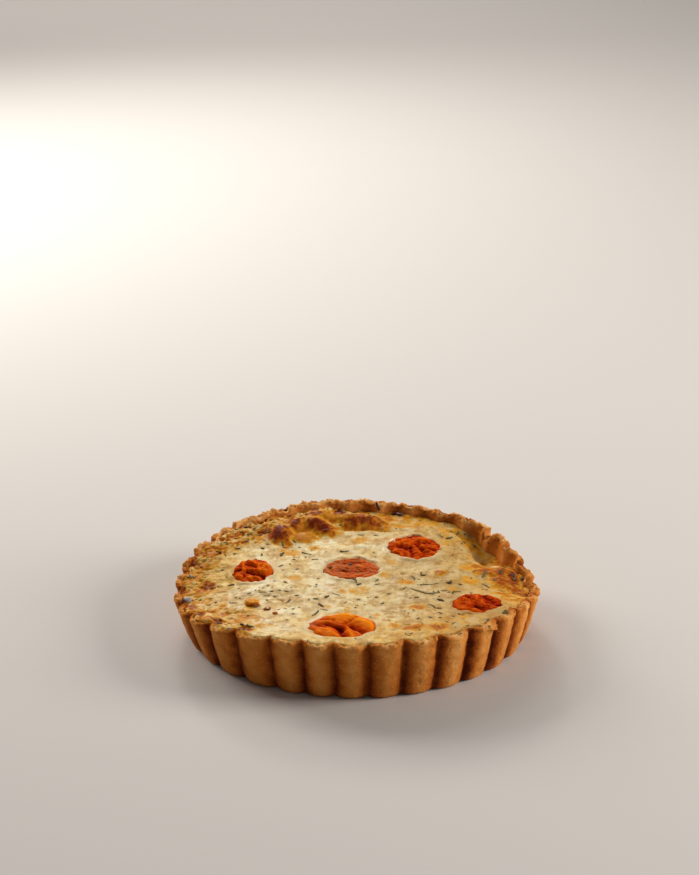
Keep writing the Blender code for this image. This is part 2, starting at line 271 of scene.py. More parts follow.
# %% Node helpers
def plug(tree, node, inputs):
    """Connects each of a node's inputs to a socket, or sets it to a value."""
    for key, value in inputs.items():
        if isinstance(value, bpy.types.NodeSocket):
            tree.links.new(value, node.inputs[key])
        else:
            node.inputs[key].default_value = value


def wire(tree, kind, inputs=None, **settings):
    """Adds a node, sets it up and plugs in its inputs."""
    node = tree.nodes.new(kind)
    for setting, value in settings.items():
        setattr(node, setting, value)
    plug(tree, node, inputs or {})
    return node


def maths(tree, operation, first, second=0.0, clamp=False):
    node = wire(tree, "ShaderNodeMath", {0: first, 1: second}, operation=operation, use_clamp=clamp)
    return node.outputs[0]


def times(tree, first, second):
    return maths(tree, "MULTIPLY", first, second)


def uneven(tree, noise, amount):
    """Noise moved down to lie round 0, times an amount."""
    return times(tree, maths(tree, "SUBTRACT", noise, 0.5), amount)


def named(tree, mask):
    """Reads a mask that the mesh carries, in a node tree that makes shapes."""
    node = wire(tree, "GeometryNodeInputNamedAttribute", {"Name": mask}, data_type="FLOAT")
    return node.outputs["Attribute"]


def new_shape_tree(name, sizes):
    """A Geometry Nodes tree with the given named inputs. Returns the tree, its input node and its output."""
    tree = bpy.data.node_groups.new(name, "GeometryNodeTree")
    tree.interface.new_socket("Geometry", in_out="INPUT", socket_type="NodeSocketGeometry")
    for size, kind in sizes.items():
        tree.interface.new_socket(size, in_out="INPUT", socket_type=f"NodeSocket{kind}")
    tree.interface.new_socket("Geometry", in_out="OUTPUT", socket_type="NodeSocketGeometry")
    return tree, tree.nodes.new("NodeGroupInput"), tree.nodes.new("NodeGroupOutput")


def finished(tree, last, given, result):
    """Makes all copies real, gives them the material, and ends the tree."""
    real = wire(tree, "GeometryNodeRealizeInstances", {"Geometry": last.outputs[0]})
    covered = wire(tree, "GeometryNodeSetMaterial", {
        "Geometry": real.outputs[0], "Material": given.outputs["Material"],
    })
    tree.links.new(covered.outputs[0], result.inputs[0])
    return tree


def run_shape_tree(obj, tree, values):
    """Runs the tree on the object and keeps the result as its plain mesh."""
    modifier = obj.modifiers.new(tree.name, "NODES")
    modifier.node_group = tree
    for socket in tree.interface.items_tree:
        if socket.in_out == "INPUT" and socket.name in values:
            modifier[socket.identifier] = values[socket.name]
    bpy.context.view_layer.update()
    graph = bpy.context.evaluated_depsgraph_get()
    result = bpy.data.meshes.new_from_object(obj.evaluated_get(graph))
    obj.modifiers.clear()
    obj.data = result
    return obj


# %% [markdown]
# Materials: how baked food gets its colours
# Pastry, custard and tomato are all slightly see-through and uneven. Each material starts from a mask on the
# mesh, such as how far a place has browned, breaks it up with noise at two or three scales, and turns the
# result into a colour with a ramp. A little subsurface light softens the shading, as fat and water do.

# %% Material helpers
def new_material(name):
    material = bpy.data.materials.new(name)
    material.use_nodes = True
    tree = material.node_tree
    shader = tree.nodes["Principled BSDF"]
    place = tree.nodes.new("ShaderNodeTexCoord").outputs["Object"]
    return material, tree, shader, place


def mask_of(tree, mask):
    return wire(tree, "ShaderNodeAttribute", attribute_name=mask).outputs["Fac"]


def grain(tree, place, size, detail=3.0, stretch=(1, 1, 1)):
    """Noise from 0 to 1 with lumps of that size in metres, drawn out along an axis if asked."""
    scaled = wire(tree, "ShaderNodeMapping", {"Vector": place, "Scale": tuple(1 / s for s in stretch)})
    noise = wire(tree, "ShaderNodeTexNoise", {
        "Vector": scaled.outputs[0], "Scale": 1 / size, "Detail": detail, "Roughness": 0.55,
    })
    return noise.outputs[0]


def ramp(tree, value, stops):
    """A colour ramp with (place, colour) stops."""
    node = wire(tree, "ShaderNodeValToRGB", {"Fac": value})
    elements = node.color_ramp.elements
    while len(elements) < len(stops):
        elements.new(0.5)
    for element, (position, colour) in zip(elements, stops):
        element.position = position
        element.color = (*colour, 1)
    return node.outputs["Color"]


def between(tree, value, low, high):
    """The value's place between two limits, held to 0 and 1."""
    node = wire(tree, "ShaderNodeMapRange", {"Value": value, "From Min": low, "From Max": high},
                interpolation_type="SMOOTHSTEP")
    return node.outputs["Result"]


def mix(tree, share, first, second, blend="MIX"):
    node = wire(tree, "ShaderNodeMix", {0: share, 6: first, 7: second}, data_type="RGBA", blend_type=blend)
    return node.outputs[2]


def paint(tree, colour, layers, blend="MIX"):
    """Lays layers over a colour, one on the other. Each is its mask, its strength and its colour."""
    for mask, strength, layer in layers:
        colour = mix(tree, times(tree, mask, strength), colour, (*layer, 1), blend)
    return colour


def rgb(red, green, blue):
    """A colour as seen on screen, turned into the linear values that a shader takes."""
    return tuple(((c + 0.055) / 1.055) ** 2.4 if c > 0.04045 else c / 12.92 for c in (red, green, blue))


def spots(tree, place, size, radius, seed=0.0):
    """Scattered round spots, 1 inside and 0 outside."""
    moved = wire(tree, "ShaderNodeMapping", {"Vector": place, "Location": (seed, seed, seed)})
    cells = wire(tree, "ShaderNodeTexVoronoi", {"Vector": moved.outputs[0], "Scale": 1 / size})
    return between(tree, cells.outputs["Distance"], radius, 0.6 * radius)


def bumps(tree, shader, layers):
    """Stacks (height, depth in metres) layers of fine relief onto the shader's normal."""
    normal = None
    for height, depth in layers:
        inputs = {"Height": height, "Distance": depth, "Strength": 1.0}
        if normal:
            inputs["Normal"] = normal
        normal = wire(tree, "ShaderNodeBump", inputs).outputs["Normal"]
    tree.links.new(normal, shader.inputs["Normal"])


# %% [markdown]
# The pastry's material
# Shortcrust is matt and sandy. Its crests and edges are pale, its grooves and its inner wall browner, and
# flour and small dark specks show all over. The dark of the grooves and of one flank of each flute is
# painted shade, the pale rim is partly a painted highlight, and the inner wall has painted shade in its
# hollows and painted light on its ridges. One mask holds this large pattern, and noise at 0.5 mm and 3 mm
# breaks it up.

# %% Pastry material
PALE_PASTRY = rgb(0.91, 0.69, 0.42)
TAN_PASTRY = rgb(0.84, 0.555, 0.26)
GOLDEN_PASTRY = rgb(0.75, 0.43, 0.15)
BROWN_PASTRY = rgb(0.56, 0.26, 0.05)
DARK_PASTRY = rgb(0.34, 0.12, 0.02)


def pastry_material():
    material, tree, shader, place = new_material("shortcrust")
    fine, broad = grain(tree, place, 0.5 * MM, 4), grain(tree, place, 3.2 * MM, 3)
    # The mask is browning with painted shade in the grooves and on one flank of each flute, and a painted rim
    # highlight.
    browning_and_shade = maths(tree, "ADD", mask_of(tree, "browning_and_shade"), uneven(tree, fine, 0.42))
    browning_and_shade = maths(tree, "ADD", browning_and_shade, uneven(tree, broad, 0.28), clamp=True)
    colour = ramp(tree, browning_and_shade, (
        (0.0, PALE_PASTRY), (0.28, TAN_PASTRY), (0.55, GOLDEN_PASTRY),
        (0.8, BROWN_PASTRY), (1.0, DARK_PASTRY),
    ))
    flour = times(tree, spots(tree, place, 1.7 * MM, 0.10, 7.7), mask_of(tree, "floury"))
    colour = paint(tree, colour, (
        (spots(tree, place, 1.9 * MM, 0.11), 0.30, BROWN_PASTRY),
        (flour, 0.35, rgb(0.96, 0.92, 0.84)),
    ))
    rough = wire(tree, "ShaderNodeMapRange", {"Value": broad, "To Min": 0.6, "To Max": 0.86})
    plug(tree, shader, {
        "Base Color": colour, "Roughness": rough.outputs["Result"], "Specular IOR Level": 0.08,
        "Subsurface Weight": 0.12, "Subsurface Radius": (1.0, 0.55, 0.28), "Subsurface Scale": 1.2 * MM,
    })
    sand = grain(tree, place, 0.22 * MM, 2)
    bumps(tree, shader, ((broad, 0.25 * MM), (fine, 0.22 * MM), (sand, 0.07 * MM)))
    return material


PASTRY = pastry_material()

# %% [markdown]
# The pastry case
# A tart case is turned first and fluted after: the dough takes its flutes from the tin. The same order works
# here. Rings of points are turned round the axis from the middle of the underside, over the rim, to the
# floor. Each point carries how deep a flute presses there, and a Geometry Nodes tree presses all of them at
# once, then raises the crumb along the surface. The sizes of both are the tree's named inputs.

# %% Turned case
COLUMNS = FLUTES * 30
UNDERSIDE_SHARES = (0.15, 0.4, 0.65, 0.85, 0.95, 1.0)
CORNER_STEPS = 5
OUTER_STEPS = 40
RIM_STEPS = 22
INNER_STEPS = 14
# About the row at which the outside ends and the rim begins
RIM_START = len(UNDERSIDE_SHARES) + CORNER_STEPS + OUTER_STEPS
SHOULDER_DROP = 1.3 * MM
HIGHEST_RIM = 22.2 * MM
# Where the rim is broken and lumpy, besides the whole way round: angle, width, height of the lumps in mm
BROKEN_RIM = ((-142, 34, 0.55), (150, 40, 0.25), (-95, 30, 0.2))


def case_rings(angle):
    """Rows of radius, height, outer press, inner press and crumb, from the underside to the inner floor."""
    top = rim_height(angle)
    lip = humps(angle, LIPS)
    ones = np.ones_like(angle)
    rows = []

    def row(radius, height, outer=0.0, inner=0.0, crumb=0.0):
        rows.append([radius * ones, height * ones, outer * ones, inner * ones, crumb * ones])

    foot = crest_radius(angle, 0.0)
    for share in UNDERSIDE_SHARES:
        row(share * (foot - BASE_EDGE_ROUND), 0.0, GROOVE_DEPTH_BASE * share**6 * 0.8)
    for step in range(1, CORNER_STEPS + 1):
        share = step / CORNER_STEPS
        turn = math.radians(90 * share)
        reach = crest_radius(angle, 0.08 * share) - BASE_EDGE_ROUND * (1 - math.sin(turn))
        row(reach, BASE_EDGE_ROUND * (1 - math.cos(turn)), GROOVE_DEPTH_BASE, 0, 0.5 * share)
    for step in range(1, OUTER_STEPS):
        share = step / OUTER_STEPS
        height = BASE_EDGE_ROUND + (top - SHOULDER_DROP - BASE_EDGE_ROUND) * share
        bulge = 0.25 * MM * math.sin(math.pi * share)
        lipped = lip * smoothstep(0.8, 1.0, share) * 0.5
        reach = crest_radius(angle, height / top) + bulge + lipped
        row(reach, height, groove_depth(share), 0, 0.75 + 0.25 * share**4)
    outer, inner = crest_radius(angle, 1.0) - 0.1 * MM, smooth_inner_radius(angle, top)
    middle, half = (outer + inner) / 2, (outer - inner) / 2
    faint = np.clip(1 - humps(angle, FAINT_FLUTES), 0.2, 1)
    covered = np.minimum(overflow_share(angle) * 3, 1)
    broken = (0.30 + humps(angle, BROKEN_RIM)) * MM
    lumps = broken * (round_noise(angle, 17.0, 15) + 0.6 * round_noise(angle, 41.0, 16)) * (1 - 0.7 * covered)
    for step in range(RIM_STEPS + 1):
        turn = math.pi * step / RIM_STEPS
        across, up = math.cos(turn), math.sin(turn) ** 0.8
        share = (1 + across) / 2
        reach = middle + half * math.copysign(abs(across) ** 0.8, across)
        kept = 1 + (faint - 1) * up
        height = top - SHOULDER_DROP * (1 - up) - 0.45 * lip * share - 0.7 * MM * covered * (1 - share) ** 1.5
        height = np.minimum(height + lumps * up, HIGHEST_RIM)
        row(reach + lip * share * (1 - 0.4 * up), height, groove_depth(1.0) * share**0.7 * kept,
            inner_wave(angle) * (1 - share) * kept, 1.0 + 1.6 * up)
    for step in range(1, INNER_STEPS + 1):
        height = top - SHOULDER_DROP + (FLOOR_CORNER - top + SHOULDER_DROP) * (step / INNER_STEPS) ** 1.3
        row(smooth_inner_radius(angle, height), height, 0, inner_wave(angle), 0.8 * (1 - step / INNER_STEPS))
    for share in (0.97, 0.7, 0.3):
        reach = share * smooth_inner_radius(angle, FLOOR_CORNER)
        row(reach, FLOOR_THICKNESS, 0, inner_wave(angle) * share**8)
    return np.array(rows)


def turned_case():
    angle = np.arange(COLUMNS) * math.tau / COLUMNS
    rows = case_rings(angle)
    radius, height, outer, inner, crumb = (rows[:, i] for i in range(5))
    hooked = angle - math.radians(1.3) * smoothstep(1.3, 2.5, crumb) * bump(angle, NOTCH[0] + 0.9, 0.8)
    points = np.stack([radius * np.sin(hooked), -radius * np.cos(hooked), height], axis=-1).reshape(-1, 3)
    points = np.vstack([points, [[0, 0, 0], [0, 0, FLOOR_THICKNESS]]])
    ends = [0.0, 0.0]
    place = flute_place(np.broadcast_to(angle, radius.shape))
    masks = {
        "around": np.append(place.ravel(), ends),
        "outer_press": np.append(outer.ravel(), ends),
        "inner_press": np.append(inner.ravel(), ends),
        "crumb": np.append(crumb.ravel(), ends),
        # browning, with painted shade in the grooves and a painted highlight on the rim
        "browning_and_shade": np.append(browning_and_shade_mask(angle, rows).ravel(), [0.5, 0.4]),
        "floury": np.append((0.35 + 0.65 * smoothstep(0.3, 0.9, crumb)).ravel(), ends),
        "rim": np.append(smoothstep(1.5, 2.3, crumb).ravel(), ends),
    }
    return mesh_object("pastry_case", points, ring_faces(len(rows), COLUMNS), masks, PASTRY)


def browning_and_shade_mask(angle, rows):
    """How brown the pastry is: pale crests and rim, brown grooves and inner wall, partly painted shade and
    light.
    """
    radius, height, crumb = rows[:, 0], rows[:, 1], rows[:, 4]
    # Painted side shade: at the front each flute's left flank is darker, at the front left its right flank.
    lean = 0.08 * bump(angle, 12, 45) - 0.06 * bump(angle, -62, 30)
    across = np.abs(2 * ((flute_place(angle) - lean) % 1) - 1)[None, :]
    number = np.arange(len(rows))[:, None]
    inside = number > RIM_START + RIM_STEPS * 0.55
    rim = smoothstep(1.3, 2.3, crumb)
    # Grooves darker than crests: painted shade in the grooves. The side is also darker towards the bottom.
    browning_and_shade = 0.25 + 0.66 * across**1.6 + 0.12 * (1 - height / RIM_HEIGHT)
    # The inner wall is browner, with painted shade in its hollows and painted light on the ridges between.
    browning_and_shade = np.where(inside, 0.54 - 0.26 * across**2 + 0.08 * bump(angle, 118, 38), browning_and_shade)
    sides = (0.08 * (bump(angle, -85, 35) + bump(angle, 95, 30)) - 0.14 * bump(angle, -145, 38)) * rim
    x, y = radius * np.sin(angle), -radius * np.cos(angle)
    for *place, amount in SCORCHED:
        sides = sides + amount * (number > RIM_START) * patch(x, y, *place)
    patches = 0.09 * soft_noise(np.degrees(angle) / 3.2, height / (3.2 * MM), 32)
    # The rim is made paler: partly a paler crust, partly a painted highlight along its top.
    return browning_and_shade - 0.17 * rim + sides + 0.14 * round_noise(angle, 9.0, 31) + patches


# %% Flute the case
def flute_tree():
    tree, given, result = new_shape_tree("press_the_flutes", {
        "Sharpness": "Float", "Crumb Size": "Float", "Crumb Height": "Float", "Lump Size": "Float",
        "Lump Height": "Float", "Material": "Material",
    })
    fraction = maths(tree, "FRACT", named(tree, "around"))
    across = maths(tree, "ABSOLUTE", maths(tree, "SUBTRACT", times(tree, fraction, 2.0), 1.0))
    groove = times(tree, maths(tree, "POWER", across, given.outputs["Sharpness"]), named(tree, "outer_press"))
    depth = maths(tree, "ADD", groove, named(tree, "inner_press"))
    place = tree.nodes.new("GeometryNodeInputPosition").outputs[0]
    flat = wire(tree, "ShaderNodeVectorMath", {0: place, 1: (1, 1, 0)}, operation="MULTIPLY").outputs[0]
    outward = wire(tree, "ShaderNodeVectorMath", {0: flat}, operation="NORMALIZE").outputs[0]
    back = times(tree, depth, -1.0)
    inward = wire(tree, "ShaderNodeVectorMath", {0: outward, "Scale": back}, operation="SCALE").outputs[0]
    pressed = wire(tree, "GeometryNodeSetPosition", {"Geometry": given.outputs["Geometry"], "Offset": inward})
    relief = 0.0
    for size, height, detail in (("Crumb Size", "Crumb Height", 3.0), ("Lump Size", "Lump Height", 1.0)):
        scale = maths(tree, "DIVIDE", 1.0, given.outputs[size])
        noise = wire(tree, "ShaderNodeTexNoise", {"Scale": scale, "Detail": detail, "Roughness": 0.6})
        relief = maths(tree, "ADD", uneven(tree, noise.outputs[0], given.outputs[height]), relief)
    relief = times(tree, relief, named(tree, "crumb"))
    normal = tree.nodes.new("GeometryNodeInputNormal").outputs[0]
    raised = wire(tree, "ShaderNodeVectorMath", {0: normal, "Scale": relief}, operation="SCALE").outputs[0]
    crumbed = wire(tree, "GeometryNodeSetPosition", {"Geometry": pressed.outputs[0], "Offset": raised})
    return finished(tree, crumbed, given, result)


case = run_shape_tree(turned_case(), flute_tree(), {
    "Sharpness": GROOVE_SHARPNESS, "Crumb Size": 1.1 * MM, "Crumb Height": 0.62 * MM,
    "Lump Size": 3.6 * MM, "Lump Height": 0.95 * MM, "Material": PASTRY,
})
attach(case, "root")
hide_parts("crust")
report(case)

# %% [markdown]
# Where the custard browns and rises
# Custard browns where it is thin and near the hot edge: at the left and along the back. A few blisters there
# are nearly burnt. Small browned spots lie over the middle where cheese or onion shows. Each is a named place
# with a size and a strength, in millimetres, and the same places raise the surface.

# %% Places on the custard
# Humps of the surface: x, y, half length, half width, turn in degrees, height
RELIEF = (
    (-25.0, 36.0, 8.5, 4.2, 100, 1.3), (-18.0, 42.5, 7.5, 4.8, 95, 1.3), (-12.5, 47.5, 7.0, 4.6, 65, 1.6),
    (1.0, 47.5, 10.0, 4.6, 4, 1.6), (20.0, -42.5, 8.0, 2.4, 4, 0.45), (46.0, 3.0, 6.5, 5.0, 60, 1.3),
    (43.0, 24.0, 4.5, 7.5, 25, -1.4), (-36.0, -25.5, 6.0, 2.0, -40, 0.6),
    (-34.0, -38.0, 5.0, 2.2, -20, 0.5), (28.0, 3.0, 4.0, 2.5, 0, 0.5), (5.0, -14.0, 9.0, 6.0, 20, -0.5),
    (-24.0, -10.0, 9.0, 4.0, 10, 0.5),
)
# Blisters, on top of the humps: x, y, half length, half width, turn, height
BLISTERS = (
    (-25.7, 32.4, 3.6, 5.0, 8, 2.1), (-12.6, 39.2, 6.0, 3.4, -34, 1.9), (-20.8, 39.8, 2.2, 3.4, 0, 1.4),
    (-17.6, 32.0, 3.6, 3.2, 10, 0.9), (-28.5, 41.0, 3.0, 2.6, 0, 0.7), (2.5, 44.6, 8.0, 3.6, 2, 1.3),
    (43.5, 7.8, 3.6, 3.0, 20, 0.8), (49.5, 10.5, 3.0, 3.4, 0, 0.6), (-51.0, -8.0, 3.0, 2.6, 0, 0.4),
    (27.4, 2.7, 2.6, 2.0, 0, 0.25), (-50.0, 3.0, 2.6, 3.4, 0, 0.4), (36.5, 7.5, 3.0, 2.4, 0, 0.3),
    (-50.4, -24.4, 1.8, 2.6, 30, -0.6), (-43.4, -34.0, 2.6, 1.6, -40, -0.6),
    (-34.6, -42.4, 3.2, 1.4, -38, -0.5),
)
# Browned spots: x, y, half length, half width, turn in degrees, how brown
BROWN_SPOTS = (
    (-26.2, 32.2, 3.9, 5.4, 8, 1.0), (-12.4, 39.0, 6.2, 3.7, -34, 1.0), (-21.2, 39.8, 2.2, 3.2, 0, 0.95),
    (-23.4, 26.8, 1.6, 2.6, 10, 0.55), (-17.6, 32.0, 5.0, 3.8, 10, 0.50),
    (-18.5, 37.0, 4.4, 4.6, 0, 0.52), (-20.0, 38.0, 11.0, 9.0, 0, 0.36), (-8.5, 47.0, 7.0, 4.5, 0, 0.42),
    (-15.0, 46.5, 5.0, 3.4, 20, 0.48), (2.5, 43.6, 7.4, 3.0, 4, 0.92), (1.5, 40.9, 10.0, 2.0, 3, 0.56),
    (5.0, 47.4, 5.0, 1.8, 0, 0.66), (15.5, 42.5, 3.4, 2.0, 0, 0.34), (-48.8, -2.6, 2.4, 2.8, 0, 0.74),
    (-49.4, 22.6, 2.6, 1.6, 30, 0.6), (27.4, 2.7, 2.3, 2.6, 0, 0.62), (16.0, -4.8, 2.2, 2.2, 10, 0.46),
    (19.0, -25.0, 2.5, 2.5, 8, 0.54), (11.6, -41.8, 2.0, 2.4, 0, 0.42), (17.6, -43.4, 4.0, 2.6, 5, 0.54),
    (25.2, -43.6, 3.6, 3.2, 20, 0.58), (-25.8, -29.8, 0.9, 0.9, 0, 0.6), (-20.2, -1.5, 3.0, 3.6, 0, 0.24),
    (-1.0, -12.0, 2.4, 3.0, 30, 0.24), (2.0, -9.7, 2.6, 3.4, 0, 0.20), (-4.5, -11.5, 1.6, 2.0, 0, 0.26),
    (-22.5, 19.8, 4.0, 3.6, 0, 0.30), (37.1, -1.7, 3.0, 3.6, 0, 0.32), (36.9, 8.7, 3.2, 3.2, 0, 0.34),
    (9.3, 1.8, 2.4, 3.0, 0, 0.22), (1.1, 31.4, 3.2, 3.2, 0, 0.26), (41.0, 11.5, 4.0, 2.0, -10, 0.58),
    (45.6, 8.4, 6.6, 4.6, 5, 0.72), (49.2, 22.5, 3.0, 4.6, 25, 0.66), (52.0, 6.5, 2.6, 3.8, 10, 0.88),
    (48.6, 2.0, 6.0, 4.4, 60, 0.68), (52.4, -5.0, 3.2, 7.0, 10, 0.68), (-33.2, -22.3, 2.6, 2.2, 20, 0.30),
    (-54.3, 13.4, 1.5, 2.6, 20, 0.92), (-50.0, -4.0, 2.6, 5.0, 6, 0.62),
    (-33.0, 31.0, 5.0, 3.0, 20, 0.34), (-56.4, -5.2, 1.4, 2.2, 0, 0.75),
    (-53.0, -17.8, 1.4, 2.8, 25, 0.85), (-50.4, -24.4, 1.9, 2.8, 30, 0.92),
    (-43.4, -34.0, 2.8, 1.8, -40, 0.90), (-34.6, -42.4, 3.5, 1.6, -38, 0.82),
    (-30.0, 46.0, 4.0, 3.0, 30, 0.42), (-46.0, 22.0, 3.0, 4.0, 30, 0.40),
    (30.5, -10.5, 2.0, 2.6, 0, 0.26), (12.0, 12.0, 2.0, 2.6, 0, 0.20), (-10.0, -24.0, 2.0, 3.0, 30, 0.20),
    (-14.0, 24.0, 2.4, 2.8, 0, 0.26), (6.5, -31.0, 1.6, 2.2, 0, 0.22), (33.0, -34.0, 2.4, 2.6, 30, 0.25),
    (21.0, 45.0, 5.0, 3.0, -20, 0.22), (-3.0, -27.5, 1.5, 4.0, 12, 0.20), (30.0, 30.0, 3.4, 3.4, 0, 0.20),
)
# Where the ring next to the pastry browns: angle, width, how brown
BROWN_RING = (
    (-98, 34, 0.31), (-138, 24, 0.42), (-172, 16, 0.54), (152, 20, 0.20), (124, 16, 0.18), (96, 20, 0.54),
    (-52, 18, 0.34), (70, 12, 0.26), (20, 20, 0.14),
)
# Where grated, crumbly bits cover the custard: angle, width, amount
CRUMBLY_RING = (
    (-98, 34, 0.70), (-138, 24, 1.0), (-168, 14, 0.6), (94, 18, 0.9), (-52, 18, 0.5), (60, 14, 0.3),
)
# Onion arcs under the skin: x, y, radius across, radius along, start and end in degrees, how clear
ONION_ARCS = (
    (-34.0, -18.0, 8.6, 9.6, 150, 262, 1.0), (-33.8, -36.6, 5.0, 6.2, 20, 175, 1.0),
    (-33.6, -37.0, 3.0, 3.8, 10, 190, 0.8), (-22.0, -16.0, 9.0, 2.2, 190, 330, 0.4),
    (28.0, -15.0, 8.0, 4.2, 10, 120, 0.4), (10.0, 30.0, 6.5, 2.6, 20, 150, 0.4),
    (-28.0, -26.5, 2.0, 1.7, 0, 360, 0.9), (38.0, -12.0, 9.0, 2.6, 30, 140, 0.35),
)
# Milky patches, and pale streaks at the left that are painted highlights of the wet skin:
# x, y, half length, half width, turn in degrees, how white
MILKY_AND_HIGHLIGHTS = (
    (-35.6, -10.4, 5.4, 1.2, -8, 1.0), (-34.5, -13.4, 5.0, 0.9, -4, 0.7),
    (-36.9, -22.8, 3.0, 1.3, 50, 1.0), (-9.8, -9.5, 5.0, 5.0, 0, 0.7), (-28.6, -4.9, 2.8, 1.6, 25, 0.9),
    (-29.8, -34.0, 3.6, 2.2, -40, 0.6), (-25.5, -40.8, 6.0, 3.4, -30, 0.75),
    (-22.8, -27.9, 4.5, 3.0, 10, 0.6), (-10.0, -23.7, 2.4, 2.0, 0, 0.7), (2.8, 25.5, 7.0, 1.2, 8, 0.6),
    (-13.0, -41.0, 3.0, 5.5, 0, 0.5), (-12.0, 30.0, 5.0, 2.4, 0, 0.5),
)


def onion_mask(x, y):
    """Up to 1 along the onion arcs, each a broken band of about 1.2 mm."""
    mask = np.zeros_like(x)
    broken = 0.45 + 0.55 * smoothstep(-0.35, 0.25, soft_noise(x / MM / 2.5, y / MM / 2.5, 98))
    for centre_x, centre_y, across, along, start, end, clear in ONION_ARCS:
        away_x, away_y = (x / MM - centre_x) / across, (y / MM - centre_y) / along
        turn = np.degrees(np.arctan2(away_y, away_x)) % 360
        inside = 1.0
        if end < 360:
            inside = smoothstep(start - 8, start + 8, turn) * smoothstep(end + 8, end - 8, turn)
        off = (np.hypot(away_x, away_y) - 1) * min(across, along)
        mask = np.maximum(mask, np.exp(-((off / 0.62) ** 2)) * inside * clear)
    return mask * broken


# %% [markdown]
# The tomato halves
# Roasting dries a halved cherry tomato until its face collapses into folds. Each half is a disc of rings in
# its own frame: an uneven outline, a face that carries creases and ridges, and a round underside that sits in
# the custard. The main creases of each half are given as short lines on the face, from -1 to 1, and noise
# adds the small wrinkles. The mask "fold" keeps the relief for the colour: deep folds are dark red, partly
# as painted shade, and stretched ridges bright orange.

# %% Tomato sizes
# Name: x, y, half width, half depth, turn, lift, lean to the front, seed
TOMATOES = {
    "tomato_left": (-34.0, 4.0, 6.7, 8.4, 0, 0.5, 7, 3),
    "tomato_middle": (-1.7, 6.6, 9.6, 9.4, 0, -0.1, 0, 5),
    "tomato_back": (19.6, 24.4, 9.0, 9.8, 10, 0.4, 4, 8),
    "tomato_right": (38.3, -24.3, 8.2, 7.8, 0, 0.2, 2, 13),
    "tomato_front": (-4.3, -42.4, 10.6, 9.6, -6, 0.6, 0, 21),
}
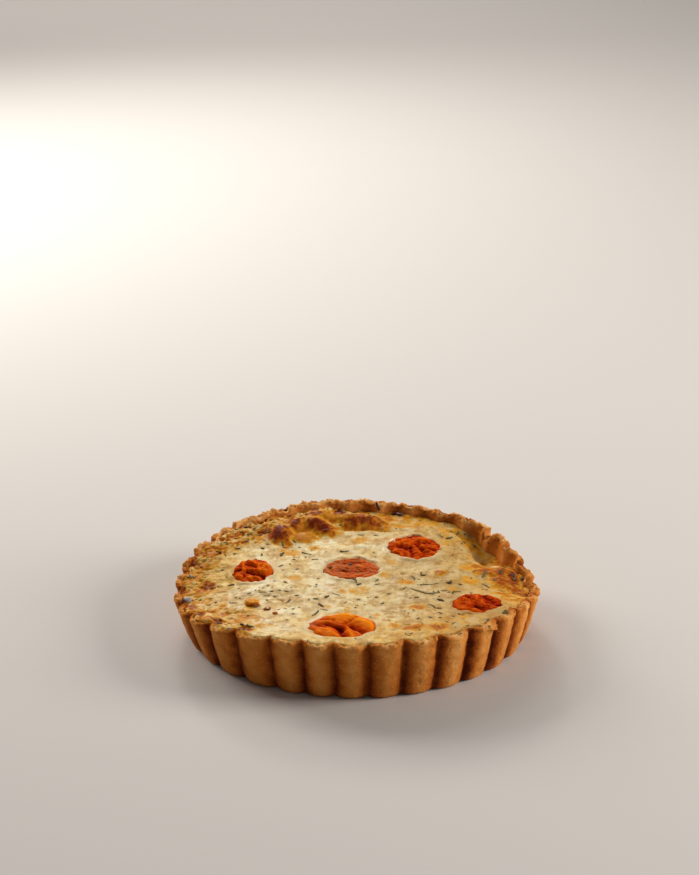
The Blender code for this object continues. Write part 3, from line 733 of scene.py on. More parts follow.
# Lines on each face: from u, v to u, v, width, height (below 0 is a crease)
CREASES = {
    "tomato_front": (
        (-0.05, 0.80, 0.80, 0.05, 0.30, 1.3), (0.34, 0.58, 0.02, 0.06, 0.06, -0.9),
        (0.24, 0.02, 0.78, -0.60, 0.13, -2.0), (-0.10, -0.18, 0.12, -0.85, 0.14, -2.0),
        (0.03, -0.02, 0.31, -0.90, 0.09, 1.1), (-0.50, -0.42, -0.12, -0.80, 0.17, 0.9),
        (-0.52, 0.12, -0.08, -0.22, 0.11, -1.5), (-0.45, 0.35, -0.12, 0.72, 0.16, 0.6),
        (-0.72, 0.46, -0.30, 0.34, 0.07, -0.8), (-0.82, 0.05, -0.55, -0.15, 0.11, -1.2),
        (-0.86, -0.52, -0.74, -0.60, 0.13, 0.5), (0.86, 0.36, 0.98, -0.15, 0.06, -1.2),
        (0.42, -0.45, 0.70, -0.80, 0.10, 0.6),
    ),
    "tomato_left": (
        (-0.66, 0.72, -0.50, 0.02, 0.07, 1.1), (-0.40, 0.92, 0.16, 0.40, 0.08, 1.0),
        (-0.34, 0.50, 0.10, 0.26, 0.12, -1.3), (-0.48, 0.02, 0.55, -0.10, 0.07, 1.0),
        (0.16, 0.40, 0.24, 0.00, 0.06, 0.7), (-0.38, -0.12, 0.50, -0.46, 0.10, -1.5),
        (0.50, -0.46, 0.66, -0.80, 0.08, -0.9), (0.40, 0.30, 0.85, 0.18, 0.30, 0.7),
        (-0.96, 0.00, -0.62, 0.10, 0.10, -1.8), (-0.80, 0.45, -0.62, 0.30, 0.10, -0.9),
        (-0.86, -0.38, -0.20, -0.62, 0.08, 0.9), (-0.46, -0.36, -0.42, -0.56, 0.08, -1.3),
        (-0.05, -0.50, 0.30, -0.72, 0.08, 0.8), (0.20, 0.82, 0.75, 0.62, 0.09, -0.8),
        (0.52, 0.62, 0.70, 0.30, 0.07, 0.5), (-0.15, -0.85, 0.25, -0.90, 0.10, -0.8),
    ),
    "tomato_right": (
        (-0.85, 0.15, -0.35, -0.35, 0.12, 0.9), (-0.62, 0.50, -0.20, 0.05, 0.08, 0.8),
        (-0.45, 0.62, -0.12, 0.20, 0.08, -1.0), (-0.07, 0.70, 0.00, 0.12, 0.06, 1.0),
        (-0.05, -0.25, 0.12, -0.60, 0.14, -1.6), (0.20, 0.78, 0.36, 0.45, 0.11, -1.4),
        (0.12, 0.10, 0.35, -0.20, 0.09, 0.7), (0.45, 0.10, 0.95, -0.20, 0.24, -1.0),
        (0.50, -0.30, 0.80, -0.50, 0.08, 0.5), (-0.75, -0.45, 0.10, -0.80, 0.13, 0.7),
        (-0.55, -0.12, -0.20, -0.50, 0.07, -0.8), (-0.95, 0.40, -0.60, 0.62, 0.10, -0.6),
    ),
    "tomato_back": (
        (-0.55, 0.30, -0.20, 0.60, 0.08, 0.9), (-0.42, 0.05, -0.15, 0.32, 0.08, 0.8),
        (-0.60, 0.10, -0.30, -0.10, 0.09, -1.2), (-0.08, -0.05, 0.02, -0.60, 0.08, 0.9),
        (-0.20, -0.10, -0.15, -0.55, 0.08, -1.2), (0.12, 0.05, 0.22, -0.55, 0.08, -1.1),
        (0.20, 0.40, 0.60, 0.50, 0.10, 0.8), (0.05, 0.20, 0.55, 0.15, 0.08, -1.1),
        (0.35, -0.05, 0.75, -0.10, 0.09, 0.8), (0.40, -0.35, 0.60, -0.65, 0.09, 0.8),
        (0.30, -0.25, 0.75, -0.35, 0.07, -1.0), (-0.80, -0.30, -0.45, -0.50, 0.10, 0.7),
        (-0.30, 0.80, 0.50, 0.86, 0.10, -1.3), (0.75, 0.45, 0.92, 0.00, 0.09, -1.0),
    ),
    "tomato_middle": (
        (-0.30, 0.10, 0.35, 0.05, 0.12, 0.7), (-0.45, 0.45, 0.45, 0.48, 0.07, -0.7),
        (-0.45, -0.30, 0.50, -0.32, 0.07, -0.8), (0.30, 0.72, 0.80, 0.15, 0.12, 0.6),
        (-0.60, -0.60, 0.30, -0.78, 0.12, 0.6), (-0.12, 0.30, 0.02, 0.20, 0.08, -0.9),
    ),
}
# How much each face is ringed like a cut face, how much noise wrinkles it, and how red it is
FACE_STYLE = {
    "tomato_front": (0.0, 0.24, -0.08),
    "tomato_left": (0.0, 0.42, 0.02),
    "tomato_right": (0.0, 0.60, 0.12),
    "tomato_back": (0.0, 0.85, 0.10),
    "tomato_middle": (1.0, 0.5, 0.10),
}
TOMATO_BODY_DEPTH = 6.4 * MM
TOMATO_COLUMNS = 224
TOMATO_FACE_STEPS = 72
TOMATO_SIDE_STEPS = 14
FOLD_HEIGHT = 0.62 * MM


def tomato_outline(phi, seed):
    wave = soft_noise(np.cos(phi) * 1.3, np.sin(phi) * 1.3, seed)
    fine = soft_noise(np.cos(phi) * 3.1, np.sin(phi) * 3.1, seed + 40)
    ragged = soft_noise(np.cos(phi) * 5.0, np.sin(phi) * 5.0, seed + 60)
    torn = smoothstep(-0.15, 0.45, soft_noise(np.cos(phi) * 1.7, np.sin(phi) * 1.7, seed + 80))
    return 1 + 0.06 * wave + 0.05 * fine + 0.06 * ragged * torn


def line_distance(u, v, start_u, start_v, end_u, end_v):
    along_u, along_v = end_u - start_u, end_v - start_v
    share = ((u - start_u) * along_u + (v - start_v) * along_v) / (along_u**2 + along_v**2)
    share = np.clip(share, 0, 1)
    return np.hypot(u - start_u - share * along_u, v - start_v - share * along_v)


def face_relief(name, u, v):
    """The height of a tomato's face in fold heights, from its creases, rings and small wrinkles."""
    seed = TOMATOES[name][-1]
    ringed, wrinkled, _ = FACE_STYLE[name]
    bent_u = u + 0.07 * soft_noise(u * 2.3, v * 2.3, seed + 1)
    bent_v = v + 0.07 * soft_noise(u * 2.3, v * 2.3, seed + 2)
    relief = np.zeros_like(u)
    for start_u, start_v, end_u, end_v, width, height in CREASES[name]:
        away = line_distance(bent_u, bent_v, start_u, start_v, end_u, end_v) / width
        relief += height * np.exp(-(away**1.5))
    ridges = 1 - 2 * np.abs(soft_noise(bent_u * 3.6 + bent_v, bent_v * 4.8, seed + 3))
    small = soft_noise(bent_u * 8.0, bent_v * 8.0, seed + 4)
    relief += wrinkled * (0.75 * ridges - 0.3 + 0.35 * small)
    rings = np.cos(np.hypot(bent_u, bent_v * 1.05) * 21) * smoothstep(0.15, 0.35, np.hypot(u, v))
    return relief + ringed * 0.30 * rings


# %% [markdown]
# The tomato's material
# Colour follows the mask "fold": dark red in the creases, partly as painted shade, orange on the ridges,
# with a fine mottle. The mask "film" says where thin custard covers the face. A roasted face is dry and
# wrinkled, so it mirrors almost nothing, and much of its glow is light that comes back from below the
# surface.

# %% Tomato material
def tomato_material():
    material, tree, shader, place = new_material("roast_tomato")
    mottle = uneven(tree, grain(tree, place, 1.6 * MM, 4), 0.42)
    fold = maths(tree, "ADD", mask_of(tree, "fold"), mottle, clamp=True)
    colour = ramp(tree, fold, (
        (0.0, rgb(0.46, 0.07, 0.01)), (0.22, rgb(0.64, 0.16, 0.01)), (0.48, rgb(0.78, 0.29, 0.02)),
        (0.75, rgb(0.89, 0.44, 0.03)), (1.0, rgb(0.94, 0.55, 0.07)),
    ))
    broken = between(tree, grain(tree, place, 1.1 * MM), 0.38, 0.62)
    colour = paint(tree, colour, ((mask_of(tree, "film"), broken, rgb(0.68, 0.46, 0.28)),))
    rough = wire(tree, "ShaderNodeMapRange", {
        "Value": grain(tree, place, 1.2 * MM), "To Min": 0.46, "To Max": 0.68,
    })
    plug(tree, shader, {
        "Base Color": colour, "Roughness": rough.outputs["Result"], "Specular IOR Level": 0.03,
        "Specular Tint": (1.0, 0.50, 0.22, 1), "Subsurface Weight": 0.30,
        "Subsurface Radius": (1.0, 0.22, 0.05), "Subsurface Scale": 1.6 * MM,
    })
    bumps(tree, shader, ((grain(tree, place, 0.6 * MM, 3), 0.10 * MM),))
    return material


TOMATO = tomato_material()

# %% [markdown]
# The custard's surface
# The top is one height over a plan: a square grid is rounded into a disc, so there is no pinched pole in the
# middle and the detail is even. The height starts from the level at the pastry's edge, then adds humps,
# wrinkles, curds, crumbly bits, bubbles, a sunk corner at the right-hand back, and a seat for each tomato
# with a low lip round it. The same terms fill the colour masks.

# %% Custard rules
GRID = 296
# How far the custard goes into the wall, how thick it lies on the rim, and how deep the tomatoes' seats are
CRUST_TUCK = 0.5 * MM
FILM = 0.20 * MM
SEAT_DEPTH = 4.6 * MM


def edge_level(angle):
    return whole_rim_height(angle) - FREEBOARD - humps(angle, LOW_EDGES)


def border_radius(angle):
    """Where the custard ends: just inside the pastry's wall, or out on the rim where it ran over."""
    level = edge_level(angle)
    wall = smooth_inner_radius(angle, level) - inner_wave(angle) + CRUST_TUCK
    across = np.abs(2 * (flute_place(angle) % 1) - 1) ** GROOVE_SHARPNESS
    outer = crest_radius(angle, 1.0) - groove_depth(1.0) * across
    return wall + (outer - wall - 0.6 * MM) * overflow_share(angle)


def round_grid():
    """A square grid drawn out to a disc of radius 1."""
    side = np.linspace(-1, 1, GRID + 1)
    u, v = np.meshgrid(side, side)
    return u * np.sqrt(1 - v**2 / 2), v * np.sqrt(1 - u**2 / 2)


def seat_of(name, x, y):
    """Distance from a tomato's centre, 1 on the edge of its seat, and the place on its face as u and v."""
    centre_x, centre_y, half_width, half_depth, turn, _, _, seed = TOMATOES[name]
    along, across = along_across(x / MM - centre_x, y / MM - centre_y, turn)
    u, v = along / half_width, across / half_depth
    return np.hypot(u, v) / tomato_outline(np.arctan2(v, u), seed), u, v


def plain_level(x, y):
    """The custard's level before its fine relief: what the tomatoes stand on."""
    angle, radius = np.arctan2(x, -y), np.hypot(x, y)
    edge = edge_level(angle)
    share = smoothstep(EDGE_BLEND_START, 1.0, radius / (smooth_inner_radius(angle, edge) - inner_wave(angle)))
    level = CENTRE_LEVEL + (edge - CENTRE_LEVEL) * share
    for *place, height in RELIEF:
        level = level + height * MM * np.exp(-1.4 * oval(x, y, *place))
    return level


# The line where the skin tears away from the sunk corner, from its front to its back: y, x
SKIN_EDGE = ((12.0, 43.0), (14.3, 41.2), (18.3, 40.0), (28.9, 38.3), (33.6, 35.7), (38.2, 32.9), (42.0, 30.0))


def pocket(x, y):
    """1 in the sunk corner at the right-hand back, 0 on the skin beside it, with a sharp edge between."""
    rows = np.array(SKIN_EDGE)
    edge = np.interp(y / MM, rows[:, 0], rows[:, 1]) + 0.5 * soft_noise(y / MM / 3, 0.5, 91)
    front = smoothstep(12.6, 14.6, y / MM - 0.10 * (x / MM - 44) + 0.8 * soft_noise(x / MM / 3, 0.5, 93))
    back = smoothstep(41.0, 35.0, y / MM)
    return smoothstep(-0.2, 0.9, x / MM - edge) * front * back


def back_ledge(x, y):
    """1 on the browned band along the back, and 1 in the dip where the pale custard ends in front of it."""
    line = y / MM - 38.6 + 0.010 * (x / MM - 4) ** 2 + 0.9 * soft_noise(x / MM / 5, 0.5, 92)
    angle = np.degrees(np.arctan2(x, -y)) % 360
    dip = smoothstep(-0.1, 0.7, line) * np.exp(-((np.clip(line, 0, 30) / 2.4) ** 2))
    zone = smoothstep(150, 162, angle) * smoothstep(205, 190, angle)
    return smoothstep(-0.3, 0.6, line) * zone, dip * zone


def nearby(x, y, centre_x, centre_y, reach):
    """Which points lie near a place. Small things only touch these, which saves most of the work."""
    return (np.abs(x / MM - centre_x) < reach) & (np.abs(y / MM - centre_y) < reach)


def curds(x, y):
    """Low soft lumps and hollows, as cheese and bubbles leave under the skin."""
    draw = np.random.default_rng(12)
    total = np.zeros_like(x)
    for _ in range(300):
        place_x, place_y = draw.uniform(-52, 52, 2)
        radius, height = draw.uniform(0.9, 2.6), draw.normal(0, 0.15)
        near = nearby(x, y, place_x, place_y, 3 * radius)
        total[near] += height * patch(x[near], y[near], place_x, place_y, radius, radius * 0.7, 0)
    for _ in range(90):
        place_x, place_y = draw.uniform(-50, 50, 2)
        radius, height = draw.uniform(0.35, 0.8), draw.uniform(0.2, 0.5)
        near = nearby(x, y, place_x, place_y, 3 * radius)
        total[near] -= height * patch(x[near], y[near], place_x, place_y, radius, radius, 0)
    return total


def crumbly_bits(x, y, rho):
    """How crumbly the custard is at a place, and the height of the bits there, from about -1 to 1."""
    mx, my = x / MM, y / MM
    crumbly = np.clip(humps(np.arctan2(x, -y), CRUMBLY_RING), 0, 1) * smoothstep(0.78, 0.90, rho)
    bits = 1 - 2.2 * np.abs(soft_noise(mx / 1.8, my / 1.9, 51))
    return crumbly, 0.58 * bits + 0.42 * soft_noise(mx / 0.95, my / 1.0, 52)


def milky_and_highlight_mask(x, y):
    """Where thin pale custard lies on the skin in streaks, and where pale streaks are painted highlights."""
    milky_and_highlight = np.clip(sum(white * patch(x, y, *place) for *place, white in MILKY_AND_HIGHLIGHTS), 0, 1)
    return milky_and_highlight * smoothstep(-0.45, 0.25, soft_noise(x / MM / 1.9, y / MM / 1.3, 99))


# Where the skin lies in fine streaks
STREAKY_PLACES = ((-28, -15, 12, 9, 15), (-38, -26, 8, 7, 15))


def custard_relief(x, y, rho):
    """Fine relief of the custard in metres: swells and wrinkles first, then bits, streaks and blisters."""
    mx, my = x / MM, y / MM
    crumbly, bits = crumbly_bits(x, y, rho)
    wrinkle = soft_noise(mx / 6.5 + 0.5 * soft_noise(mx / 9, my / 9, 53), my / 2.2, 54)
    ripple = soft_noise(mx / 2.6, my / 1.4, 55)
    swell = soft_noise(mx / 13, my / 13, 56)
    streaky = sum(patch(x, y, *place) for place in STREAKY_PLACES)
    relief = 0.35 * swell + 0.08 * wrinkle + 0.03 * ripple + crumbly * (0.72 * bits + 0.05) + curds(x, y)
    relief += 0.06 * soft_noise(mx / 1.1, my / 1.6, 57) + 0.12 * soft_noise(mx / 2.4, my / 3.6, 65)
    relief += 0.16 * streaky * soft_noise(mx / 6, my / 1.5, 59) + 0.10 * milky_and_highlight_mask(x, y)
    relief += 0.25 * onion_mask(x, y) - 1.6 * pocket(x, y)
    band, dip = back_ledge(x, y)
    relief += 0.45 * band * (0.6 + soft_noise(mx / 3, my / 3, 58)) - dip
    for *place, height in BLISTERS:
        relief += height * np.exp(-0.9 * oval(x, y, *place) ** 1.8)
    return relief * MM


# %% Custard top
def brown_mask(x, y, rho):
    """How brown the custard is, from 0 for cream to 1 for nearly burnt."""
    angle, mx, my = np.arctan2(x, -y), x / MM, y / MM
    patches = soft_noise(mx / 4.2, my / 4.2, 61) + 0.6 * soft_noise(mx / 1.7, my / 1.7, 62)
    broken = 0.20 + 1.10 * smoothstep(-0.40, 0.50, patches)
    ring = np.clip(humps(angle, BROWN_RING), 0, 0.62) * broken
    ring = ring * smoothstep(0.79, 0.90, rho + 0.03 * patches - 0.035 * bump(angle, -95, 25))
    crumbly, bits = crumbly_bits(x, y, rho)
    # Painted shade: the hollows between the crumbly bits are browner than their tops.
    brown = ring + 0.20 * back_ledge(x, y)[0] * broken + 0.12 * crumbly * smoothstep(0.10, -0.40, bits)
    edge = 0.80 * soft_noise(mx / 2.4, my / 2.4, 63) + 0.45 * soft_noise(mx / 1.0, my / 1.0, 64)
    for centre_x, centre_y, length, width, turn, strength in BROWN_SPOTS:
        away = np.clip(oval(x, y, centre_x, centre_y, length, width, turn) + edge, 0, None)
        spot = np.exp(-0.9 * away**1.5)
        brown = np.maximum(brown, strength * spot)
    return np.clip(brown, 0, 1)


# Where the custard is a fuller yellow: first round the edge, then places
YELLOW_RING = ((-95, 45, 0.9), (170, 40, 0.5), (80, 50, 0.8), (8, 42, 0.9))
YELLOW_PLACES = ((-47, 8, 7, 11, 5), (-40, -30, 8, 6, 30))


def yellow_mask(x, y, rho):
    """Where the custard is a fuller yellow: by the pastry, in places at the left and in the sunk corner."""
    angle, mx, my = np.arctan2(x, -y), x / MM, y / MM
    ring = humps(angle, YELLOW_RING) * smoothstep(0.50, 0.9, rho)
    places = sum(patch(x, y, *place) for place in YELLOW_PLACES) + 0.7 * pocket(x, y)
    patchy = 0.35 * smoothstep(0.0, 0.5, soft_noise(mx / 7, my / 7, 72))
    return np.clip(ring * (0.7 + 0.6 * soft_noise(mx / 5, my / 5, 71)) + places + patchy, 0, 1)


def darker_tan_mask(x, y):
    """Where the skin is a darker tan: from the middle to the right, but not by the tomato there."""
    mx, my = x / MM, y / MM
    darker_tan = smoothstep(-10, 40, mx) * (0.85 + 0.4 * soft_noise(mx / 9, my / 9, 73))
    return np.clip(darker_tan - 0.7 * patch(x, y, 45, -18, 9, 7, 20), 0, 1)


# Smooth wet places, and a pale place beside the tomato on the right
WET_PLACES = ((-26, -14, 14, 11, 15), (-39, -27, 8, 7, 0))
PALE_PLACE = (44, -21, 9, 9, 0)


def custard_top():
    """The points of the custard's top as a square grid, and the masks for its colours."""
    disc_x, disc_y = round_grid()
    rho, angle = np.hypot(disc_x, disc_y), np.arctan2(disc_x, -disc_y)
    steady = BASE_RADIUS - 1.5 * MM
    reach = steady + (border_radius(angle) - steady) * smoothstep(0.80, 1.0, rho)
    x, y = rho * reach * np.sin(angle), -rho * reach * np.cos(angle)
    level = plain_level(x, y) + custard_relief(x, y, rho)
    over = np.minimum(overflow_share(angle) * 2, 1) * smoothstep(0.90, 0.97, rho)
    level += over * (FREEBOARD + FILM) - 0.6 * MM * smoothstep(0.985, 1.0, rho)
    ceiling = rim_height(angle) + 0.55 * MM
    near_rim = smoothstep(0.88, 0.95, rho)
    level = np.where(level > ceiling, ceiling + (level - ceiling) * (1 - 0.75 * near_rim), level)
    brown, wet, pale = brown_mask(x, y, rho), np.zeros_like(x), np.zeros_like(x)
    for name in TOMATOES:
        away, u, v = seat_of(name, x, y)
        lap = 0.10 * soft_noise(u * 2.2, v * 2.2, 95) - 0.04
        lip = np.exp(-((away - 1.08 - lap) / 0.10) ** 2)
        lip_height = (0.32 + 0.28 * soft_noise(u * 2.6, v * 2.6, 96)) * MM
        level += lip_height * lip - SEAT_DEPTH * smoothstep(1.02, 0.72, away - lap)
        pale = np.maximum(pale, smoothstep(1.40, 1.10, away))
        wet = np.maximum(wet, 0.7 * smoothstep(1.35, 1.1, away))
    pale = np.maximum(pale, 0.9 * patch(x, y, *PALE_PLACE))
    for place in WET_PLACES:
        wet = np.maximum(wet, 0.9 * patch(x, y, *place))
    wet = np.maximum(wet, 0.45 * np.clip(sum(patch(x, y, *row[:5]) for row in BLISTERS[:6]), 0, 1))
    masks = {
        "browned": brown, "wet": wet, "pale": pale * (1 - brown), "yellow": yellow_mask(x, y, rho),
        "onion": onion_mask(x, y), "sunk": pocket(x, y) * (1 - 0.5 * brown), "darker_tan": darker_tan_mask(x, y),
        "milky_and_highlight": milky_and_highlight_mask(x, y), "crumbled": crumbly_bits(x, y, rho)[0],
    }
    return np.stack([x, y, level], axis=-1), masks


# %% [markdown]
# The custard's material
# The ground is a cream, and layers of paint go over it one by one: tan patches, small light and dull flecks,
# pinkish tan, and then the colours of the masks, from the pale seats of the tomatoes to small specks. The
# last layer is a toast ramp from golden to chestnut that follows the mask "browned". The specks stand for
# the finest herbs, and wet places are smoother.

# %% Custard material
CREAM = rgb(0.84, 0.735, 0.51)


def custard_material():
    material, tree, shader, place = new_material("baked_custard")
    fine, broad = grain(tree, place, 0.8 * MM, 4), grain(tree, place, 4.5 * MM, 4)
    middle = grain(tree, place, 2.7 * MM, 2, stretch=(1, 1.5, 1))
    small = grain(tree, place, 1.0 * MM, 2, stretch=(1, 1.6, 1))
    pool, rosy = grain(tree, place, 8.0 * MM, 2), grain(tree, place, 3.0 * MM, 3)
    ground = paint(tree, (*CREAM, 1), (
        (between(tree, broad, 0.44, 0.62), 0.75, rgb(0.775, 0.63, 0.385)),
        (between(tree, small, 0.50, 0.66), 0.34, rgb(0.93, 0.88, 0.73)),
        (between(tree, small, 0.48, 0.34), 0.32, rgb(0.68, 0.55, 0.31)),
        (between(tree, pool, 0.46, 0.66), 0.55, rgb(0.88, 0.80, 0.61)),
        (between(tree, middle, 0.50, 0.62), 0.70, rgb(0.90, 0.84, 0.66)),
        (between(tree, middle, 0.49, 0.37), 0.70, rgb(0.72, 0.575, 0.34)),
        (between(tree, rosy, 0.54, 0.68), 0.34, rgb(0.83, 0.67, 0.48)),
        (mask_of(tree, "pale"), 0.55, rgb(0.86, 0.77, 0.60)),
    ))
    ground = paint(tree, ground, (
        (mask_of(tree, "yellow"), 1.0, rgb(1.0, 0.91, 0.68)),
        (mask_of(tree, "darker_tan"), 1.0, rgb(0.86, 0.78, 0.65)),
    ), "MULTIPLY")
    crumbled = times(tree, mask_of(tree, "crumbled"), between(tree, fine, 0.36, 0.58))
    stain = times(tree, mask_of(tree, "stain"), between(tree, small, 0.30, 0.60))
    speck = times(tree, spots(tree, place, 1.6 * MM, 0.11, 3.1), between(tree, broad, 0.42, 0.58))
    ground = paint(tree, ground, (
        (crumbled, 0.70, rgb(0.80, 0.61, 0.35)),
        # Pale patches and streaks: partly thin pale custard, partly painted highlights of the wet skin
        (mask_of(tree, "milky_and_highlight"), 0.75, rgb(0.95, 0.91, 0.81)),
        (stain, 0.60, rgb(0.56, 0.47, 0.30)),
        (mask_of(tree, "onion"), 0.9, rgb(0.82, 0.57, 0.30)),
        (mask_of(tree, "sunk"), 0.85, rgb(0.76, 0.60, 0.36)),
        (speck, 0.75, rgb(0.40, 0.32, 0.17)),
    ))
    brown = maths(tree, "ADD", mask_of(tree, "browned"), uneven(tree, fine, 0.40), clamp=True)
    toast = ramp(tree, brown, (
        (0.0, rgb(0.83, 0.66, 0.29)), (0.28, rgb(0.80, 0.55, 0.13)), (0.5, rgb(0.72, 0.42, 0.07)),
        (0.72, rgb(0.60, 0.28, 0.05)), (1.0, rgb(0.40, 0.12, 0.03)),
    ))
    colour = mix(tree, between(tree, brown, 0.06, 0.25), ground, toast)
    matt = wire(tree, "ShaderNodeMapRange", {"Value": broad, "To Min": 0.42, "To Max": 0.60})
    beads = between(tree, grain(tree, place, 0.9 * MM, 1), 0.52, 0.62)
    moist = maths(tree, "ADD", times(tree, mask_of(tree, "wet"), 0.75), 0.25)
    gloss = times(tree, times(tree, beads, moist), 0.33)
    plug(tree, shader, {
        "Base Color": colour, "Roughness": maths(tree, "SUBTRACT", matt.outputs["Result"], gloss, clamp=True),
        "Specular IOR Level": 0.15, "Specular Tint": (1.0, 0.92, 0.80, 1), "Subsurface Weight": 0.18,
        "Subsurface Radius": (1.0, 0.7, 0.4), "Subsurface Scale": 1.2 * MM,
    })
    bumps(tree, shader, ((middle, 0.16 * MM), (fine, 0.06 * MM)))
    return material


CUSTARD = custard_material()


# %% Custard piece
def custard_piece():
    """The top with three rings below its border and a point in the middle of the underside."""
    top, masks = custard_top()
    side = GRID + 1
    index = np.arange(side * side).reshape(side, side)
    quads = np.stack([index[:-1, :-1], index[:-1, 1:], index[1:, 1:], index[1:, :-1]], axis=-1).reshape(-1, 4)
    border = np.concatenate([index[0, :-1], index[:-1, -1], index[-1, :0:-1], index[:0:-1, 0]])
    points = top.reshape(-1, 3)
    rim = points[border]
    angle = np.arctan2(rim[:, 0], -rim[:, 1])
    lowest = FLOOR_CORNER - 1.1 * MM
    rings = []
    for height in (rim[:, 2] - 2.0 * MM, FLOOR_CORNER, lowest):
        radius = smooth_inner_radius(angle, height) - inner_wave(angle) - 0.2 * MM
        rings.append(np.stack([radius * np.sin(angle), -radius * np.cos(angle), height + 0 * angle], axis=-1))
    faces = quads.tolist()
    loops = [border] + [side * side + len(border) * i + np.arange(len(border)) for i in range(3)]
    for upper, lower in zip(loops, loops[1:]):
        after_up, after_low = np.roll(upper, -1), np.roll(lower, -1)
        faces += np.stack([upper, lower, after_low, after_up], axis=-1).tolist()
    centre = side * side + 3 * len(border)
    faces += np.stack([np.full(len(border), centre), np.roll(loops[-1], -1), loops[-1]], axis=-1).tolist()
    points = np.vstack([points, *rings, [[0, 0, lowest]]])
    extra = 3 * len(border) + 1
    masks = {mask: np.append(values.ravel(), np.zeros(extra)) for mask, values in masks.items()}
    return mesh_object("custard_filling", points, faces, masks, CUSTARD)


custard = custard_piece()
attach(custard, "root")
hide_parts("custard")
report(custard)


# %% Tomato pieces
def tomato_piece(name):
    x, y, half_width, half_depth, turn, lift, lean, seed = TOMATOES[name]
    _, _, redness = FACE_STYLE[name]
    phi = np.arange(TOMATO_COLUMNS) * math.tau / TOMATO_COLUMNS
    outline = tomato_outline(phi, seed)
    points, folds = [], []
    for step in range(TOMATO_FACE_STEPS, 0, -1):
        share = (step / TOMATO_FACE_STEPS) ** 0.9
        u, v = share * np.cos(phi) * outline, share * np.sin(phi) * outline
        relief = face_relief(name, u, v)
        crown = 0.6 * (1 - share**2) - 0.9 * smoothstep(0.86, 1.0, share)
        height = FOLD_HEIGHT * (relief * (1 - 0.6 * share**6) + crown)
        points.append(np.stack([u * half_width * MM, v * half_depth * MM, height], axis=-1))
        # The fold mask follows the relief and drops near the face's edge: partly painted shade there and in
        # the folds.
        folds.append(0.48 + 0.28 * relief - redness - 0.14 * smoothstep(0.88, 1.0, share))
    edge = points[0][:, 2]
    below = []
    for step in range(1, TOMATO_SIDE_STEPS + 1):
        turn_down = math.radians(86 * step / TOMATO_SIDE_STEPS)
        across, down = math.cos(turn_down), math.sin(turn_down)
        u, v = across * np.cos(phi) * outline, across * np.sin(phi) * outline
        height = edge * across - down * TOMATO_BODY_DEPTH * 0.9
        below.append(np.stack([u * half_width * MM, v * half_depth * MM, height], axis=-1))
    rings = np.array(below[::-1] + points)
    folds = np.vstack([np.full((len(below), TOMATO_COLUMNS), 0.15)] + folds)
    poles = [[0, 0, -TOMATO_BODY_DEPTH * 0.92], [0, 0, points[-1][:, 2].mean()]]
    local = np.vstack([rings.reshape(-1, 3), poles])
    placed = stand(local, x, y, plain_level(x * MM, y * MM) + lift * MM, turn, lean)
    film = custard_film(name, local, half_width, half_depth)
    masks = {"fold": np.append(folds.ravel(), [0.15, folds[-1].mean()]), "film": film}
    return mesh_object(name + "_half", placed, ring_faces(len(rings), TOMATO_COLUMNS), masks, TOMATO)


def custard_film(name, local, half_width, half_depth):
    """Thin custard left on a face: all over the middle half, in a spot on the front one, else at the edge."""
    u, v = local[:, 0] / (half_width * MM), local[:, 1] / (half_depth * MM)
    if name == "tomato_middle":
        return np.clip(0.9 * smoothstep(-0.35, -0.90, u - 0.2 * v) + 0.62, 0, 1)
    if name == "tomato_front":
        return np.exp(-(((u + 0.9) / 0.10) ** 2 + ((v - 0.05) / 0.20) ** 2))
    return 0.4 * smoothstep(0.92, 1.05, np.hypot(u, v)) * smoothstep(0.2, 0.5, soft_noise(u * 4, v * 4, 17))


def stand(points, x, y, level, turn, lean):
    """Leans the points to the front, turns them, and puts them at their place on the custard."""
    cosine, sine = math.cos(math.radians(lean)), math.sin(math.radians(lean))
    leaned = points @ np.array([[1, 0, 0], [0, cosine, -sine], [0, sine, cosine]]).T
    cosine, sine = math.cos(math.radians(turn)), math.sin(math.radians(turn))
    turned = leaned @ np.array([[cosine, -sine, 0], [sine, cosine, 0], [0, 0, 1]]).T
    return turned + np.array([x * MM, y * MM, level])


halves = []
for tomato in TOMATOES:
    half = tomato_piece(tomato)
    halves.append(half)
    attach(half, "root")
    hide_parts(tomato)
    report(half)

# %% [markdown]
# Crumbs on the rim
# A broken pastry edge is covered with grains of dough. Scattering is what Geometry Nodes are best at: the
# tree spreads points over a surface by a mask, puts one of a few shapes on each, turned and sized at random
# from a fixed seed, and makes them real. The crumbs take the pastry's material and sink into it by half.

